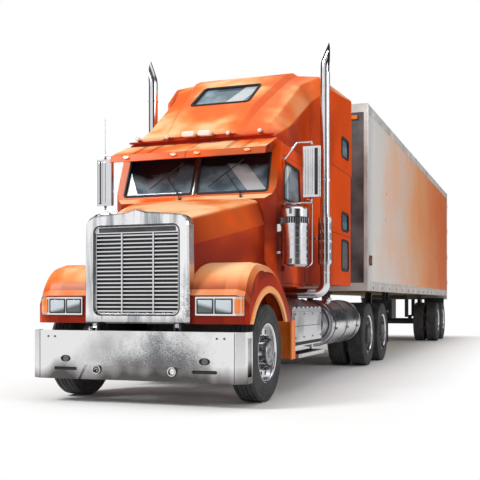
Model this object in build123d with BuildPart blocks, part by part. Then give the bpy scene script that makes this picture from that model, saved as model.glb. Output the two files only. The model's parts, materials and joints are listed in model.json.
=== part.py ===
"""Conventional highway tractor with a raised-roof sleeper, coupled to a box semitrailer.

Millimetres. +Z is up, the front bumper faces -Y and the truck's left side is +X.
The origin is on the ground, midway between the bumper face and the rearmost point.
Lengths along the truck are counted from the bumper face and turned into Y by st().
"""
from build123d import *
import math
import os

os.makedirs("parts", exist_ok=True)

# Overall places, counted from the bumper face
FRONT_AXLE = 800.0
DRIVE_AXLE = 6240.0
DRIVE_SPACING = 1320.0
KINGPIN_AHEAD = 300.0
NOSE_SETBACK = 910.0
TRAILER_LENGTH = 12190.0
TRAILER_SPACING = 1250.0
TRAILER_AXLE_TO_TAIL = 1000.0
LOCK_ROD_R = 14.0
LOCK_ROD_GAP = 2.0

TANDEM_CENTRE = DRIVE_AXLE + DRIVE_SPACING / 2
DRIVE_AXLES = [DRIVE_AXLE, DRIVE_AXLE + DRIVE_SPACING]
KINGPIN = TANDEM_CENTRE - KINGPIN_AHEAD
NOSE = KINGPIN - NOSE_SETBACK
TAIL = NOSE + TRAILER_LENGTH
TRAILER_AXLE_2 = TAIL - TRAILER_AXLE_TO_TAIL
TRAILER_AXLES = [TRAILER_AXLE_2 - TRAILER_SPACING, TRAILER_AXLE_2]
OVERALL = TAIL + LOCK_ROD_GAP + 2 * LOCK_ROD_R

# Wheels
TYRE_R = 520.0
TYRE_HALF = 140.0
BEAD_R = 302.0
RIM_HALF = 112.0
RIM_WALL = 14.0
FRONT_TYRE_X = 1060.0
DRIVE_TYRE_X = 1080.0
TRAILER_TYRE_X = 1150.0
DUAL_SPACING = 340.0
RUN_FIT = 0.05
SPINDLE_R = 45.0
HUB_R = 130.0
HAND_HOLES = 10
HAND_HOLE_R = 27.0
KINGPIN_BOLT_X = 900.0
KINGPIN_BOLT_R = 25.0

# Chassis
RAIL_HALF = 430.0
RAIL_FLANGE = 90.0
RAIL_BOTTOM = 700.0
RAIL_TOP = 970.0
RAIL_THICK = 10.0
RAIL_FRONT = 230.0
RAIL_TAIL = 1850.0
COUPLER_Z = 1240.0
PLATE_GAP = 0.3

# Bumper
BUMPER_HALF = 1220.0
BUMPER_BOTTOM = 255.0
BUMPER_TOP = 765.0
BUMPER_PLATE = 8.0
BUMPER_DEPTH = 95.0
BUMPER_RETURN = 215.0
TOW_EYE_X = 430.0
TOW_EYE_Z = 360.0
TOW_EYE_R = 34.0
TOW_EYE_WALL = 12.0

# Hood, grille and front fenders, which tilt together
HOOD_PIVOT_Y = 75.0
HOOD_PIVOT_Z = 812.0
HOOD_PIVOT_X = 470.0
HOOD_PIN_R = 16.0
GRILLE_FRONT = 60.0
GRILLE_REAR = 200.0
GRILLE_BOTTOM = 840.0
GRILLE_TOP = 1990.0
GRILLE_HALF = 600.0
GRILLE_CORNER = 120.0
OPENING_HALF = 485.0
OPENING_LOW = 930.0
OPENING_HIGH = 1850.0
OPENING_CORNER = 70.0
BAR_COUNT = 20
BAR_HEIGHT = 14.0
HOOD_REAR = 1475.0
HOOD_REAR_TOP = 2280.0
HOOD_REAR_HALF = 930.0
HOOD_SKIN = 14.0
HOOD_LOW = 1060.0
FENDER_IN = 500.0
FENDER_OUT = 1210.0
FENDER_FRONT = 110.0
FENDER_REAR = 1635.0
FENDER_BOTTOM = 840.0
FENDER_CREST = 1470.0
ARCH_R = 640.0
ARCH_BAND = 62.0
ARCH_PROUD = 12.0
LAMP_IN = 645.0
LAMP_OUT = 1165.0
LAMP_LOW = 925.0
LAMP_HIGH = 1115.0

# Cab and sleeper
CAB_HALF = 1035.0
CAB_FLOOR = 1250.0
FLOOR_THICK = 50.0
PANEL = 45.0
COWL_FRONT = 1490.0
SCREEN_FOOT = 1560.0
SCREEN_FOOT_Z = 2320.0
SCREEN_HEAD = 1790.0
CAB_TOP = 2960.0
DOOR_FRONT = 1846.0
DOOR_REAR = 2700.0
DOOR_LOW = 1290.0
DOOR_HIGH = 2810.0
DOOR_GAP = 6.0
CAB_SEAM = 2820.0
FLARE_START = 3185.0
FLARE_END = 3480.0
SLEEPER_HALF = 1215.0
SLEEPER_REAR = 4850.0
SLEEPER_FLOOR = 1300.0
GLASS = 8.0

# Side equipment
STACK_X = 1250.0
STACK_L = 3060.0
STACK_R = 65.0
STACK_TOP = 4080.0
SHIELD_R = 92.0
TANK_R = 325.0
TANK_X = 885.0
TANK_Z = 760.0
TANK_FRONT = 3620.0
TANK_REAR = 5560.0
CLEANER_X = 1235.0
CLEANER_L = 1665.0
CLEANER_R = 165.0
CLEANER_LOW = 1495.0
CLEANER_HIGH = 2130.0
BOX_FRONT = 1860.0
BOX_REAR = 3250.0
MIRROR_X = 1375.0
MIRROR_L = 1905.0
DOOR_HINGE_OUT = 14.0

# Trailer body
BOX_HALF = 1295.0
BOX_TOP = 4270.0
BOX_WALL = 40.0
FLOOR_DEPTH = 150.0
REAR_POST = 55.0
CARGO_DOOR = 40.0
CARGO_GAP = 5.0
CARGO_PIN_X = 1290.0
CARGO_PIN_OUT = 15.0
CARGO_PIN_R = 6.0


def st(length):
    """Y of a place given by its distance from the bumper face."""
    return length - OVERALL / 2


def block(x, y, z, mode=Mode.ADD):
    """A box from its low and high value on each axis, with y as lengths."""
    with Locations(((x[0] + x[1]) / 2, st((y[0] + y[1]) / 2), (z[0] + z[1]) / 2)):
        Box(x[1] - x[0], y[1] - y[0], z[1] - z[0], mode=mode)


def rod(start, end, radius, mode=Mode.ADD):
    """A round bar between two points, each (x, length, z)."""
    a = Vector(start[0], st(start[1]), start[2])
    b = Vector(end[0], st(end[1]), end[2])
    with Locations(Plane(origin=a, z_dir=b - a).location):
        Cylinder(radius, (b - a).length, align=(Align.CENTER, Align.CENTER, Align.MIN), mode=mode)


def side_plane(x):
    """Sketch plane at one X, with Y and Z as its axes and a normal along +X."""
    return Plane.YZ.offset(x)


def cross_plane(length):
    """Sketch plane at one length, with X and Z as its axes and a normal along -Y."""
    return Plane.XZ.offset(-st(length))


def at_length(points):
    """Side profile points, given as (length, z)."""
    return [(st(length), z) for length, z in points]


def outline(points, radius=0.0):
    """Adds a closed face to the sketch being made, all its corners rounded alike."""
    with BuildLine() as edge:
        if radius:
            FilletPolyline(*points, radius=radius, close=True)
        else:
            Polyline(*points, close=True)
    return make_face(edge.edges())


def keep(piece, node):
    """Labels a finished sub-part and writes its STEP file."""
    piece.part.label = node
    export_step(piece.part, f"parts/{node}.step")


# Frame: two channel rails, crossmembers, a deck plate and the bumper brackets
RAIL_REAR = KINGPIN + RAIL_TAIL
CROSSMEMBERS = [1330.0, 2600.0, 3900.0, 5300.0, TANDEM_CENTRE, RAIL_REAR - 60.0]
DECK = (SLEEPER_REAR + 60.0, NOSE + 260.0)
BRACKET_LOW = 560.0
EAR_R = 22.0
with BuildPart() as frame_rails:
    with BuildSketch(cross_plane(RAIL_FRONT)):
        for side in (-1, 1):
            web = side * (RAIL_HALF - RAIL_FLANGE / 2)
            with Locations((web, (RAIL_BOTTOM + RAIL_TOP) / 2)):
                Rectangle(RAIL_FLANGE, RAIL_TOP - RAIL_BOTTOM)
            with Locations((web - side * RAIL_THICK, (RAIL_BOTTOM + RAIL_TOP) / 2)):
                Rectangle(RAIL_FLANGE, RAIL_TOP - RAIL_BOTTOM - 2 * RAIL_THICK, mode=Mode.SUBTRACT)
    extrude(amount=-(RAIL_REAR - RAIL_FRONT))
    for place in CROSSMEMBERS:
        inner = RAIL_HALF - RAIL_THICK
        block((-inner, inner), (place - 40, place + 40), (RAIL_BOTTOM + 30, RAIL_TOP - 30))
    block((-RAIL_HALF, RAIL_HALF), DECK, (RAIL_TOP, RAIL_TOP + 10))
    for side in (-1, 1):
        near, far = sorted((side * (RAIL_HALF - 20), side * RAIL_HALF))
        block((near, far), (BUMPER_PLATE, RAIL_FRONT + 60), (BRACKET_LOW, RAIL_BOTTOM + 60))
        near, far = sorted((side * (RAIL_HALF - 20), side * (HOOD_PIVOT_X + 20)))
        block((near, far), (HOOD_PIVOT_Y - 30, HOOD_PIVOT_Y + 30), (BUMPER_TOP - 60, BUMPER_TOP - 10))
        for ear in (-30, 30):
            near = side * HOOD_PIVOT_X + ear
            block((near - 8, near + 8), (HOOD_PIVOT_Y - EAR_R, HOOD_PIVOT_Y + EAR_R), (BUMPER_TOP - 60, HOOD_PIVOT_Z))
            rod((near - 8, HOOD_PIVOT_Y, HOOD_PIVOT_Z), (near + 8, HOOD_PIVOT_Y, HOOD_PIVOT_Z), EAR_R)
        start, end = side * HOOD_PIVOT_X - 38, side * HOOD_PIVOT_X + 38
        rod((start, HOOD_PIVOT_Y, HOOD_PIVOT_Z), (end, HOOD_PIVOT_Y, HOOD_PIVOT_Z), HOOD_PIN_R)
keep(frame_rails, "frame_rails")

# Front axle: dropped beam with an eye at each end for the knuckle bolt, and its leaf springs
AXLE_Z = TYRE_R
BEAM_HIGH = 110.0
EYE_HALF = 60.0
EYE_IN = 88.0
EYE_OUT = 45.0
SPRING_X = 400.0
SPRING_HALF = 45.0
SPRING_LEAVES = [(20.0, 620.0), (18.0, 520.0), (18.0, 400.0)]
SPRING_Z = AXLE_Z + 25.0
with BuildPart() as front_axle:
    with BuildSketch(cross_plane(FRONT_AXLE - 50)):
        half = [(620, AXLE_Z - 150), (KINGPIN_BOLT_X - EYE_IN, AXLE_Z - EYE_HALF),
                (KINGPIN_BOLT_X + EYE_OUT, AXLE_Z - EYE_HALF), (KINGPIN_BOLT_X + EYE_OUT, AXLE_Z + EYE_HALF),
                (KINGPIN_BOLT_X - EYE_IN, AXLE_Z + EYE_HALF), (600, AXLE_Z - 150 + BEAM_HIGH)]
        outline(half + [(-x, z) for x, z in half[::-1]])
    extrude(amount=-100)
    for side in (-1, 1):
        x = side * KINGPIN_BOLT_X
        rod((x, FRONT_AXLE, AXLE_Z - 130), (x, FRONT_AXLE, AXLE_Z + 130), KINGPIN_BOLT_R)
        low = AXLE_Z - 150 + BEAM_HIGH
        near = side * SPRING_X
        block((near - SPRING_HALF, near + SPRING_HALF), (FRONT_AXLE - 60, FRONT_AXLE + 60), (low, SPRING_Z))
        level = SPRING_Z
        for thick, half in SPRING_LEAVES:
            block((near - SPRING_HALF, near + SPRING_HALF),
                  (FRONT_AXLE - half / 1.3, FRONT_AXLE + half), (level, level + thick))
            level += thick
        for end in (FRONT_AXLE - SPRING_LEAVES[0][1] / 1.3 + 30, FRONT_AXLE + SPRING_LEAVES[0][1] - 30):
            block((near - 30, near + 30), (end - 30, end + 30), (SPRING_Z + SPRING_LEAVES[0][0], RAIL_BOTTOM))
keep(front_axle, "front_axle")

# Engine as one block between the rails, with the radiator ahead of it
ENGINE = ((-400, 400), (560, 1420), (RAIL_TOP, 1830))
RADIATOR = ((-440, 440), (RAIL_FRONT + 10, 420), (RAIL_TOP, 1880))
with BuildPart() as engine:
    block(*ENGINE)
    block((-330, 330), (1000, 1280), (RAIL_BOTTOM - 120, RAIL_TOP))
    block(*RADIATOR)
    block((-260, 260), (420, 560), (1150, 1650))
keep(engine, "engine")

# Bumper: deep pressed plate with rolled flanges, wrapped ends, a stepped lower face and two tow eyes
STEP_LOW_HALF = 640.0
STEP_HIGH_HALF = 560.0
STEP_HIGH = 405.0
STEP_DEPTH = 26.0
FOG = (790.0, 470.0, 60.0, 36.0)
SLOT = (790.0, 365.0, 270.0, 34.0)
SCOOP_L = (75.0, 185.0)
SCOOP_Z = (320.0, 705.0)
SCOOP_DEPTH = 30.0


def bumper_plan(inset):
    """Plan of the bumper, its corners rounded, moved inwards by inset."""
    half = BUMPER_HALF - inset
    front = st(inset)
    back = st(BUMPER_RETURN)
    points = [(-half, back), (-half, front + 60), (-half + 110, front),
              (half - 110, front), (half, front + 60), (half, back)]
    outline(points, [0, 50, 50, 50, 50, 0])


def step_face(grow):
    """Face of the stepped lower part, in a cross sketch."""
    outline([(-STEP_LOW_HALF - grow, BUMPER_BOTTOM), (-STEP_HIGH_HALF - grow, STEP_HIGH + grow),
             (STEP_HIGH_HALF + grow, STEP_HIGH + grow), (STEP_LOW_HALF + grow, BUMPER_BOTTOM)])


with BuildPart() as bumper:
    with BuildSketch(Plane.XY.offset(BUMPER_BOTTOM)):
        bumper_plan(0)
    extrude(amount=BUMPER_TOP - BUMPER_BOTTOM)
    with BuildSketch(Plane.XY.offset(BUMPER_BOTTOM)):
        bumper_plan(BUMPER_PLATE)
    extrude(amount=BUMPER_TOP - BUMPER_BOTTOM, mode=Mode.SUBTRACT)
    for low, high in ((BUMPER_BOTTOM, BUMPER_BOTTOM + BUMPER_PLATE), (BUMPER_TOP - BUMPER_PLATE, BUMPER_TOP)):
        half = BUMPER_HALF - 120
        block((-half, half), (BUMPER_PLATE / 2, BUMPER_DEPTH), (low, high))
    with BuildSketch(cross_plane(BUMPER_PLATE / 2)):
        step_face(BUMPER_PLATE)
    extrude(amount=-(STEP_DEPTH + BUMPER_PLATE / 2))
    with BuildSketch(cross_plane(-1)):
        step_face(0)
    extrude(amount=-(STEP_DEPTH + 1), mode=Mode.SUBTRACT)
    for side in (-1, 1):
        x = side * TOW_EYE_X
        rod((x, 2, TOW_EYE_Z), (x, STEP_DEPTH + 4, TOW_EYE_Z), TOW_EYE_R + TOW_EYE_WALL)
        rod((x, -1, TOW_EYE_Z), (x, STEP_DEPTH + BUMPER_DEPTH, TOW_EYE_Z), TOW_EYE_R, Mode.SUBTRACT)
        with BuildSketch(cross_plane(-1)):
            with Locations((side * FOG[0], FOG[1])):
                Ellipse(FOG[2], FOG[3])
            with Locations((side * SLOT[0], SLOT[1])):
                SlotOverall(SLOT[2], SLOT[3])
        extrude(amount=-(BUMPER_PLATE + 2), mode=Mode.SUBTRACT)
        outer = side * BUMPER_HALF
        inner = side * (BUMPER_HALF - SCOOP_DEPTH - BUMPER_PLATE)
        wall = side * (BUMPER_HALF - BUMPER_PLATE / 2)
        block(sorted((inner, wall)), (SCOOP_L[0] - 8, SCOOP_L[1] + 8), (SCOOP_Z[0] - 8, SCOOP_Z[1] + 8))
        floor = side * (BUMPER_HALF - SCOOP_DEPTH)
        block(sorted((floor, outer + side)), SCOOP_L, SCOOP_Z, Mode.SUBTRACT)
        notch = sorted((side * (HOOD_PIVOT_X - 50), side * (HOOD_PIVOT_X + 50)))
        block(notch, (HOOD_PIVOT_Y - 40, HOOD_PIVOT_Y + 60), (BUMPER_TOP - 2 * BUMPER_PLATE, BUMPER_TOP + 1),
              Mode.SUBTRACT)
        notch = sorted((side * (RAIL_HALF - 21), side * HOOD_PIVOT_X))
        block(notch, (BUMPER_PLATE, BUMPER_DEPTH + 1), (BUMPER_TOP - 2 * BUMPER_PLATE, BUMPER_TOP + 1),
              Mode.SUBTRACT)
        bracket = sorted((side * (RAIL_HALF - 20), side * (RAIL_HALF - 50)))
        block(bracket, (BUMPER_PLATE / 2, 200), (BRACKET_LOW, BRACKET_LOW + 100))
keep(bumper, "bumper")

# Wheels: each is a tyre on a dished disc, single at the front and twinned on the other axles.
# Section points are (distance from the tyre's middle along X, radius).
TREAD_HALF = 118.0
SIDE_R = 450.0
TYRE_SECTION = [(-RIM_HALF, BEAD_R), (-TYRE_HALF, (BEAD_R + SIDE_R) / 2), (-TREAD_HALF - 12, SIDE_R + 30),
                (-TREAD_HALF, TYRE_R - 6), (0, TYRE_R), (TREAD_HALF, TYRE_R - 6),
                (TREAD_HALF + 12, SIDE_R + 30), (TYRE_HALF, (BEAD_R + SIDE_R) / 2), (RIM_HALF, BEAD_R)]
DISC_DISH = 70.0
DISC_THICK = 16.0
HUB_OUT = 75.0
HUB_IN = 110.0
HAND_HOLE_CIRCLE = 228.0
HUB_TRIM = 1.0


def turned(sections, x, length):
    """Revolves closed (x offset, radius) sections about a wheel axis at one X and length."""
    with BuildSketch(Plane(origin=(x, st(length), TYRE_R), x_dir=(1, 0, 0), z_dir=(0, -1, 0))) as profile:
        for points in sections:
            outline(points)
    revolve(profile.sketch, axis=Axis((x, st(length), TYRE_R), (1, 0, 0)))


def tyre_bodies(x_places, length):
    """One closed tyre for each X."""
    for x in x_places:
        turned([TYRE_SECTION], x, length)


def rim_section(out):
    """Barrel, flanges and dished disc as one section; out is +1 where the disc is dished towards +X."""
    inner = BEAD_R - RIM_WALL
    dish = out * DISC_DISH
    points = [(-RIM_HALF, BEAD_R), (-RIM_HALF, inner), (dish - DISC_THICK / 2, inner),
              (dish - DISC_THICK / 2, HUB_R), (dish + DISC_THICK / 2, HUB_R),
              (dish + DISC_THICK / 2, inner), (RIM_HALF, inner), (RIM_HALF, BEAD_R)]
    return points


def hand_holes(x, length, out, dish):
    """Hand holes through the disc."""
    plane = Plane(origin=(x + dish - out * DISC_THICK, st(length), TYRE_R), x_dir=(0, 1, 0), z_dir=(out, 0, 0))
    with BuildSketch(plane) as profile:
        with PolarLocations(HAND_HOLE_CIRCLE, HAND_HOLES):
            Circle(HAND_HOLE_R)
    extrude(profile.sketch, amount=2 * DISC_THICK, mode=Mode.SUBTRACT)


def hub(x, length, out, inner_end, outer_end, bore_r, bore_end):
    """Hub barrel along X from inner_end to outer_end, bored from its inner end for the spindle."""
    a, b = x + out * inner_end, x + out * outer_end
    rod((a, length, TYRE_R), (b, length, TYRE_R), HUB_R)
    rod((a - out, length, TYRE_R), (x + out * bore_end, length, TYRE_R), bore_r, Mode.SUBTRACT)


# Each row is (node suffix, side, length, X of the outer tyre, twin)
WHEELS = [(f"front_{name}", side, FRONT_AXLE, FRONT_TYRE_X, False) for name, side in (("left", 1), ("right", -1))]
for number, length in enumerate(DRIVE_AXLES, 1):
    WHEELS += [(f"drive_{number}_{name}", side, length, DRIVE_TYRE_X, True)
               for name, side in (("left", 1), ("right", -1))]
for number, length in enumerate(TRAILER_AXLES, 1):
    WHEELS += [(f"trailer_{number}_{name}", side, length, TRAILER_TYRE_X, True)
               for name, side in (("left", 1), ("right", -1))]
SPINDLE_END = 40.0
for suffix, side, length, outer_x, twin in WHEELS:
    x = side * outer_x
    x_places = [x, x - side * DUAL_SPACING] if twin else [x]
    with BuildPart() as tyre:
        tyre_bodies(x_places, length)
    keep(tyre, f"tyre_{suffix}")
    with BuildPart() as rim:
        if twin:
            turned([rim_section(-side)], x, length)
            turned([rim_section(side)], x - side * DUAL_SPACING, length)
            mate = x - side * DUAL_SPACING / 2
            hub(mate, length, side, -HUB_IN - 40, DUAL_SPACING / 2 + HUB_OUT / 3, SPINDLE_R + RUN_FIT, SPINDLE_END)
            for place in (x - side * DISC_DISH, x - side * (DUAL_SPACING - DISC_DISH)):
                rod((place - DISC_THICK / 2, length, TYRE_R), (place + DISC_THICK / 2, length, TYRE_R), HUB_R + HUB_TRIM)
            rod((mate - side * (HUB_IN + 41), length, TYRE_R), (mate + side * SPINDLE_END, length, TYRE_R),
                SPINDLE_R + RUN_FIT, Mode.SUBTRACT)
            hand_holes(x, length, side, -side * DISC_DISH)
        else:
            turned([rim_section(side)], x, length)
            hub(x, length, side, -20, HUB_OUT + DISC_DISH, SPINDLE_R + RUN_FIT, DISC_DISH)
            rod((x + side * (DISC_DISH - DISC_THICK / 2), length, TYRE_R),
                (x + side * (DISC_DISH + DISC_THICK / 2), length, TYRE_R), HUB_R + HUB_TRIM)
            rod((x - side * 21, length, TYRE_R), (x + side * DISC_DISH / 2, length, TYRE_R),
                SPINDLE_R + RUN_FIT, Mode.SUBTRACT)
            hand_holes(x, length, side, side * DISC_DISH)
    keep(rim, f"rim_{suffix}")

# Knuckles: fork round the axle eye, spindle into the hub, and a steering arm
FORK_IN = 76.0
FORK_OUT = 116.0
FORK_Z = (EYE_HALF + 2.0, 118.0)
for name, side in (("left", 1), ("right", -1)):
    bolt = side * KINGPIN_BOLT_X
    wheel = side * FRONT_TYRE_X
    with BuildPart() as knuckle:
        for sign in (-1, 1):
            near, far = sorted((AXLE_Z + sign * FORK_Z[0], AXLE_Z + sign * FORK_Z[1]))
            block(sorted((bolt - side * 50, bolt + side * FORK_OUT)), (FRONT_AXLE - 55, FRONT_AXLE + 55),
                  (near, far))
        block(sorted((bolt + side * FORK_IN, bolt + side * FORK_OUT)), (FRONT_AXLE - 55, FRONT_AXLE + 55),
              (AXLE_Z - FORK_Z[1], AXLE_Z + FORK_Z[1]))
        end = wheel + side * (DISC_DISH / 2 - 5)
        rod((bolt + side * 90, FRONT_AXLE, AXLE_Z), (end, FRONT_AXLE, AXLE_Z), SPINDLE_R)
        rod((bolt, FRONT_AXLE, AXLE_Z - 140), (bolt, FRONT_AXLE, AXLE_Z + 140), KINGPIN_BOLT_R + RUN_FIT,
            Mode.SUBTRACT)
        block(sorted((bolt - side * 45, bolt + side * 5)), (FRONT_AXLE + 50, FRONT_AXLE + 190),
              (AXLE_Z - FORK_Z[1], AXLE_Z - FORK_Z[1] + 30))
    keep(knuckle, f"knuckle_{name}")

# Hood: one moulded shell of a tapered centre and two fenders, open below and behind
SURROUND = [(-GRILLE_HALF, GRILLE_BOTTOM), (-GRILLE_HALF + 12, GRILLE_TOP - 40), (-110, GRILLE_TOP),
            (0, GRILLE_TOP + 32), (110, GRILLE_TOP), (GRILLE_HALF - 12, GRILLE_TOP - 40),
            (GRILLE_HALF, GRILLE_BOTTOM)]
SURROUND_ROUND = [30, GRILLE_CORNER, 60, 30, 60, GRILLE_CORNER, 30]
HOOD_FRONT_HALF = 560.0
CREASE_LOW = 330.0
SHOULDER_IN = 90.0
SHOULDER_DROP = 110.0
CROWN = 22.0
HOOD_STATIONS = [(GRILLE_REAR, HOOD_FRONT_HALF, GRILLE_TOP - 20), (HOOD_REAR, HOOD_REAR_HALF, HOOD_REAR_TOP)]
FENDER_CURVE = [(FENDER_FRONT + 40, 1190.0), (330.0, 1410.0), (640.0, FENDER_CREST),
                (1000.0, 1440.0), (1370.0, 1240.0)]
REAR_LIP = 90.0
# Fender sections, each (x, drop of the top line)
FENDER_STATIONS = [(FENDER_IN, 0.0), (FENDER_OUT - 130, 0.0), (FENDER_OUT - 45, 26.0), (FENDER_OUT, 95.0)]


def hood_section(half, top, inset, low):
    """Cross section of the hood's centre: straight sides, a crease, sloped shoulders and a crowned top."""
    w = half - inset
    t = top - inset
    shoulder = w - SHOULDER_IN
    with BuildLine() as edge:
        FilletPolyline((-w, low), (-w, t - CREASE_LOW), (-shoulder, t - SHOULDER_DROP + 60),
                       (-shoulder + 110, t - CROWN), (0, t), (shoulder - 110, t - CROWN),
                       (shoulder, t - SHOULDER_DROP + 60), (w, t - CREASE_LOW), (w, low),
                       radius=[40, 60, 60, 400, 60, 60, 40])
        Line((w, low), (-w, low))
    make_face(edge.edges())


def fender_profile(inset, drop):
    """Side profile of a fender, lowered by drop along its top and set back in front as it rounds off."""
    front = FENDER_FRONT + inset + 0.5 * drop
    rear = FENDER_REAR - inset
    low = FENDER_BOTTOM - (1 if inset else 0)
    lip = FENDER_BOTTOM + REAR_LIP - inset - 0.3 * drop
    curve = [(st(y), z - inset - drop) for y, z in FENDER_CURVE]
    curve[0] = (st(front + 40), curve[0][1])
    with BuildLine() as edge:
        Line((st(front), low), (st(front), curve[0][1] - 60))
        Line((st(front), curve[0][1] - 60), curve[0])
        ThreePointArc(curve[0], curve[1], curve[2])
        ThreePointArc(curve[2], curve[3], curve[4])
        Line(curve[4], (st(rear), lip))
        Line((st(rear), lip), (st(rear), low))
        Line((st(rear), low), (st(front), low))
    make_face(edge.edges())


def fender(side, inset):
    """Fender body on one side, lofted outwards; inset 0 is the outside and the skin gives the inside."""
    with BuildPart(mode=Mode.PRIVATE) as body:
        for x, drop in FENDER_STATIONS:
            with BuildSketch(side_plane(side * (x - inset if drop else x))):
                fender_profile(inset, drop)
        loft(ruled=True)
    return body.part


def hood_centre(inset, low):
    """Loft between the two hood stations."""
    with BuildPart(mode=Mode.PRIVATE) as body:
        for length, half, top in HOOD_STATIONS:
            with BuildSketch(cross_plane(length)):
                hood_section(half, top, inset, low)
        loft(ruled=True)
    return body.part


with BuildPart() as hood_shell:
    add(hood_centre(0, HOOD_LOW))
    for side in (-1, 1):
        add(fender(side, 0))
    add(hood_centre(HOOD_SKIN, HOOD_LOW - 1), mode=Mode.SUBTRACT)
    for side in (-1, 1):
        add(fender(side, HOOD_SKIN), mode=Mode.SUBTRACT)
        arch = sorted((side * FENDER_IN, side * (FENDER_OUT + 1)))
        rod((arch[0], FRONT_AXLE, AXLE_Z), (arch[1], FRONT_AXLE, AXLE_Z), ARCH_R, Mode.SUBTRACT)
        block(sorted((side * LAMP_IN, side * LAMP_OUT)), (FENDER_FRONT - 1, FENDER_FRONT + 90),
              (LAMP_LOW, LAMP_HIGH), Mode.SUBTRACT)
    with BuildSketch(cross_plane(GRILLE_REAR)):
        outline(SURROUND, SURROUND_ROUND)
    extrude(amount=GRILLE_REAR, mode=Mode.SUBTRACT)
    for side in (-1, 1):
        with BuildSketch(side_plane(side * (FENDER_OUT - HOOD_SKIN))):
            with Locations((st(FRONT_AXLE), AXLE_Z)):
                Circle(ARCH_R + ARCH_BAND)
                Circle(ARCH_R, mode=Mode.SUBTRACT)
            with Locations((st(FRONT_AXLE), FENDER_BOTTOM)):
                Rectangle(2 * FENDER_REAR, 2 * ARCH_R, align=(Align.CENTER, Align.MAX), mode=Mode.SUBTRACT)
        extrude(amount=side * (HOOD_SKIN + ARCH_PROUD))
keep(hood_shell, "hood_shell")

# Grille surround: deep frame with a raised centre at its top, on the two hinge arms of the hood
OPENING = [(-OPENING_HALF, OPENING_LOW), (-OPENING_HALF, OPENING_HIGH), (OPENING_HALF, OPENING_HIGH),
           (OPENING_HALF, OPENING_LOW)]
ARM_HALF = 21.0
with BuildPart() as grille_surround:
    with BuildSketch(cross_plane(GRILLE_REAR)):
        outline(SURROUND, SURROUND_ROUND)
    extrude(amount=GRILLE_REAR - GRILLE_FRONT)
    front = grille_surround.faces().sort_by(Axis.Y)[0]
    chamfer(front.outer_wire().edges(), 16)
    with BuildSketch(cross_plane(GRILLE_REAR + 1)):
        outline(OPENING, OPENING_CORNER)
    extrude(amount=GRILLE_REAR - GRILLE_FRONT + 2, mode=Mode.SUBTRACT)
    for side in (-1, 1):
        x = side * HOOD_PIVOT_X
        block((x - ARM_HALF, x + ARM_HALF), (HOOD_PIVOT_Y - 26, HOOD_PIVOT_Y + 26), (HOOD_PIVOT_Z, GRILLE_BOTTOM))
        rod((x - ARM_HALF, HOOD_PIVOT_Y, HOOD_PIVOT_Z), (x + ARM_HALF, HOOD_PIVOT_Y, HOOD_PIVOT_Z), 26)
        rod((x - ARM_HALF - 1, HOOD_PIVOT_Y, HOOD_PIVOT_Z), (x + ARM_HALF + 1, HOOD_PIVOT_Y, HOOD_PIVOT_Z),
            HOOD_PIN_R + RUN_FIT, Mode.SUBTRACT)
keep(grille_surround, "grille_surround")

# Grille: an inner ring, a header and horizontal bars crossed by two uprights
RING = 16.0
BAR_DEPTH = (88.0, 122.0)
UPRIGHT_X = (-170.0, 190.0)
HEADER_LOW = 1775.0
BAR_SPAN = (OPENING_LOW + RING + 24, HEADER_LOW - 22)
with BuildPart() as grille_bars:
    fit = PLATE_GAP
    with BuildSketch(cross_plane(BAR_DEPTH[1])):
        outline([(-OPENING_HALF + fit, OPENING_LOW + fit), (-OPENING_HALF + fit, OPENING_HIGH - fit),
                 (OPENING_HALF - fit, OPENING_HIGH - fit), (OPENING_HALF - fit, OPENING_LOW + fit)],
                OPENING_CORNER - fit)
        with Locations((0, (OPENING_LOW + RING + HEADER_LOW) / 2)):
            Rectangle(2 * (OPENING_HALF - RING), HEADER_LOW - OPENING_LOW - RING, mode=Mode.SUBTRACT)
    extrude(amount=BAR_DEPTH[1] - BAR_DEPTH[0])
    pitch = (BAR_SPAN[1] - BAR_SPAN[0]) / (BAR_COUNT - 1)
    for number in range(BAR_COUNT):
        z = BAR_SPAN[0] + number * pitch
        block((-OPENING_HALF + RING, OPENING_HALF - RING), BAR_DEPTH, (z - BAR_HEIGHT / 2, z + BAR_HEIGHT / 2))
    for x in UPRIGHT_X:
        block((x - 8, x + 8), (BAR_DEPTH[0] - 8, BAR_DEPTH[1]), (OPENING_LOW + 4, HEADER_LOW + 4))
keep(grille_bars, "grille_bars")

# Headlamps: a bezel on each fender with two rectangular lamps and an outer turn lamp
LAMP_PLAN = [(LAMP_IN, 98.0), (1085.0, 98.0), (LAMP_OUT, 128.0), (LAMP_OUT, 190.0), (LAMP_IN, 190.0)]
LAMP_CELLS = [(LAMP_IN + 18, 845.0), (857.0, 1050.0)]
TURN_CELL = (1072.0, 1140.0)
CELL_LOW, CELL_HIGH = LAMP_LOW + 18, LAMP_HIGH - 18
with BuildPart() as headlamps:
    for side in (-1, 1):
        with BuildSketch(Plane.XY.offset(LAMP_LOW + PLATE_GAP)) as plan:
            outline([(side * (x - PLATE_GAP if x > 900 else x + PLATE_GAP), st(y)) for x, y in LAMP_PLAN])
        extrude(amount=LAMP_HIGH - LAMP_LOW - 2 * PLATE_GAP)
        for near, far in LAMP_CELLS:
            block(sorted((side * near, side * far)), (90, 118), (CELL_LOW, CELL_HIGH), Mode.SUBTRACT)
            block(sorted((side * (near + 6), side * (far - 6))), (106, 120), (CELL_LOW + 6, CELL_HIGH - 6))
        near, far = TURN_CELL
        block(sorted((side * near, side * far)), (104, 140), (CELL_LOW, CELL_HIGH))
keep(headlamps, "headlamps")

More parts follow.
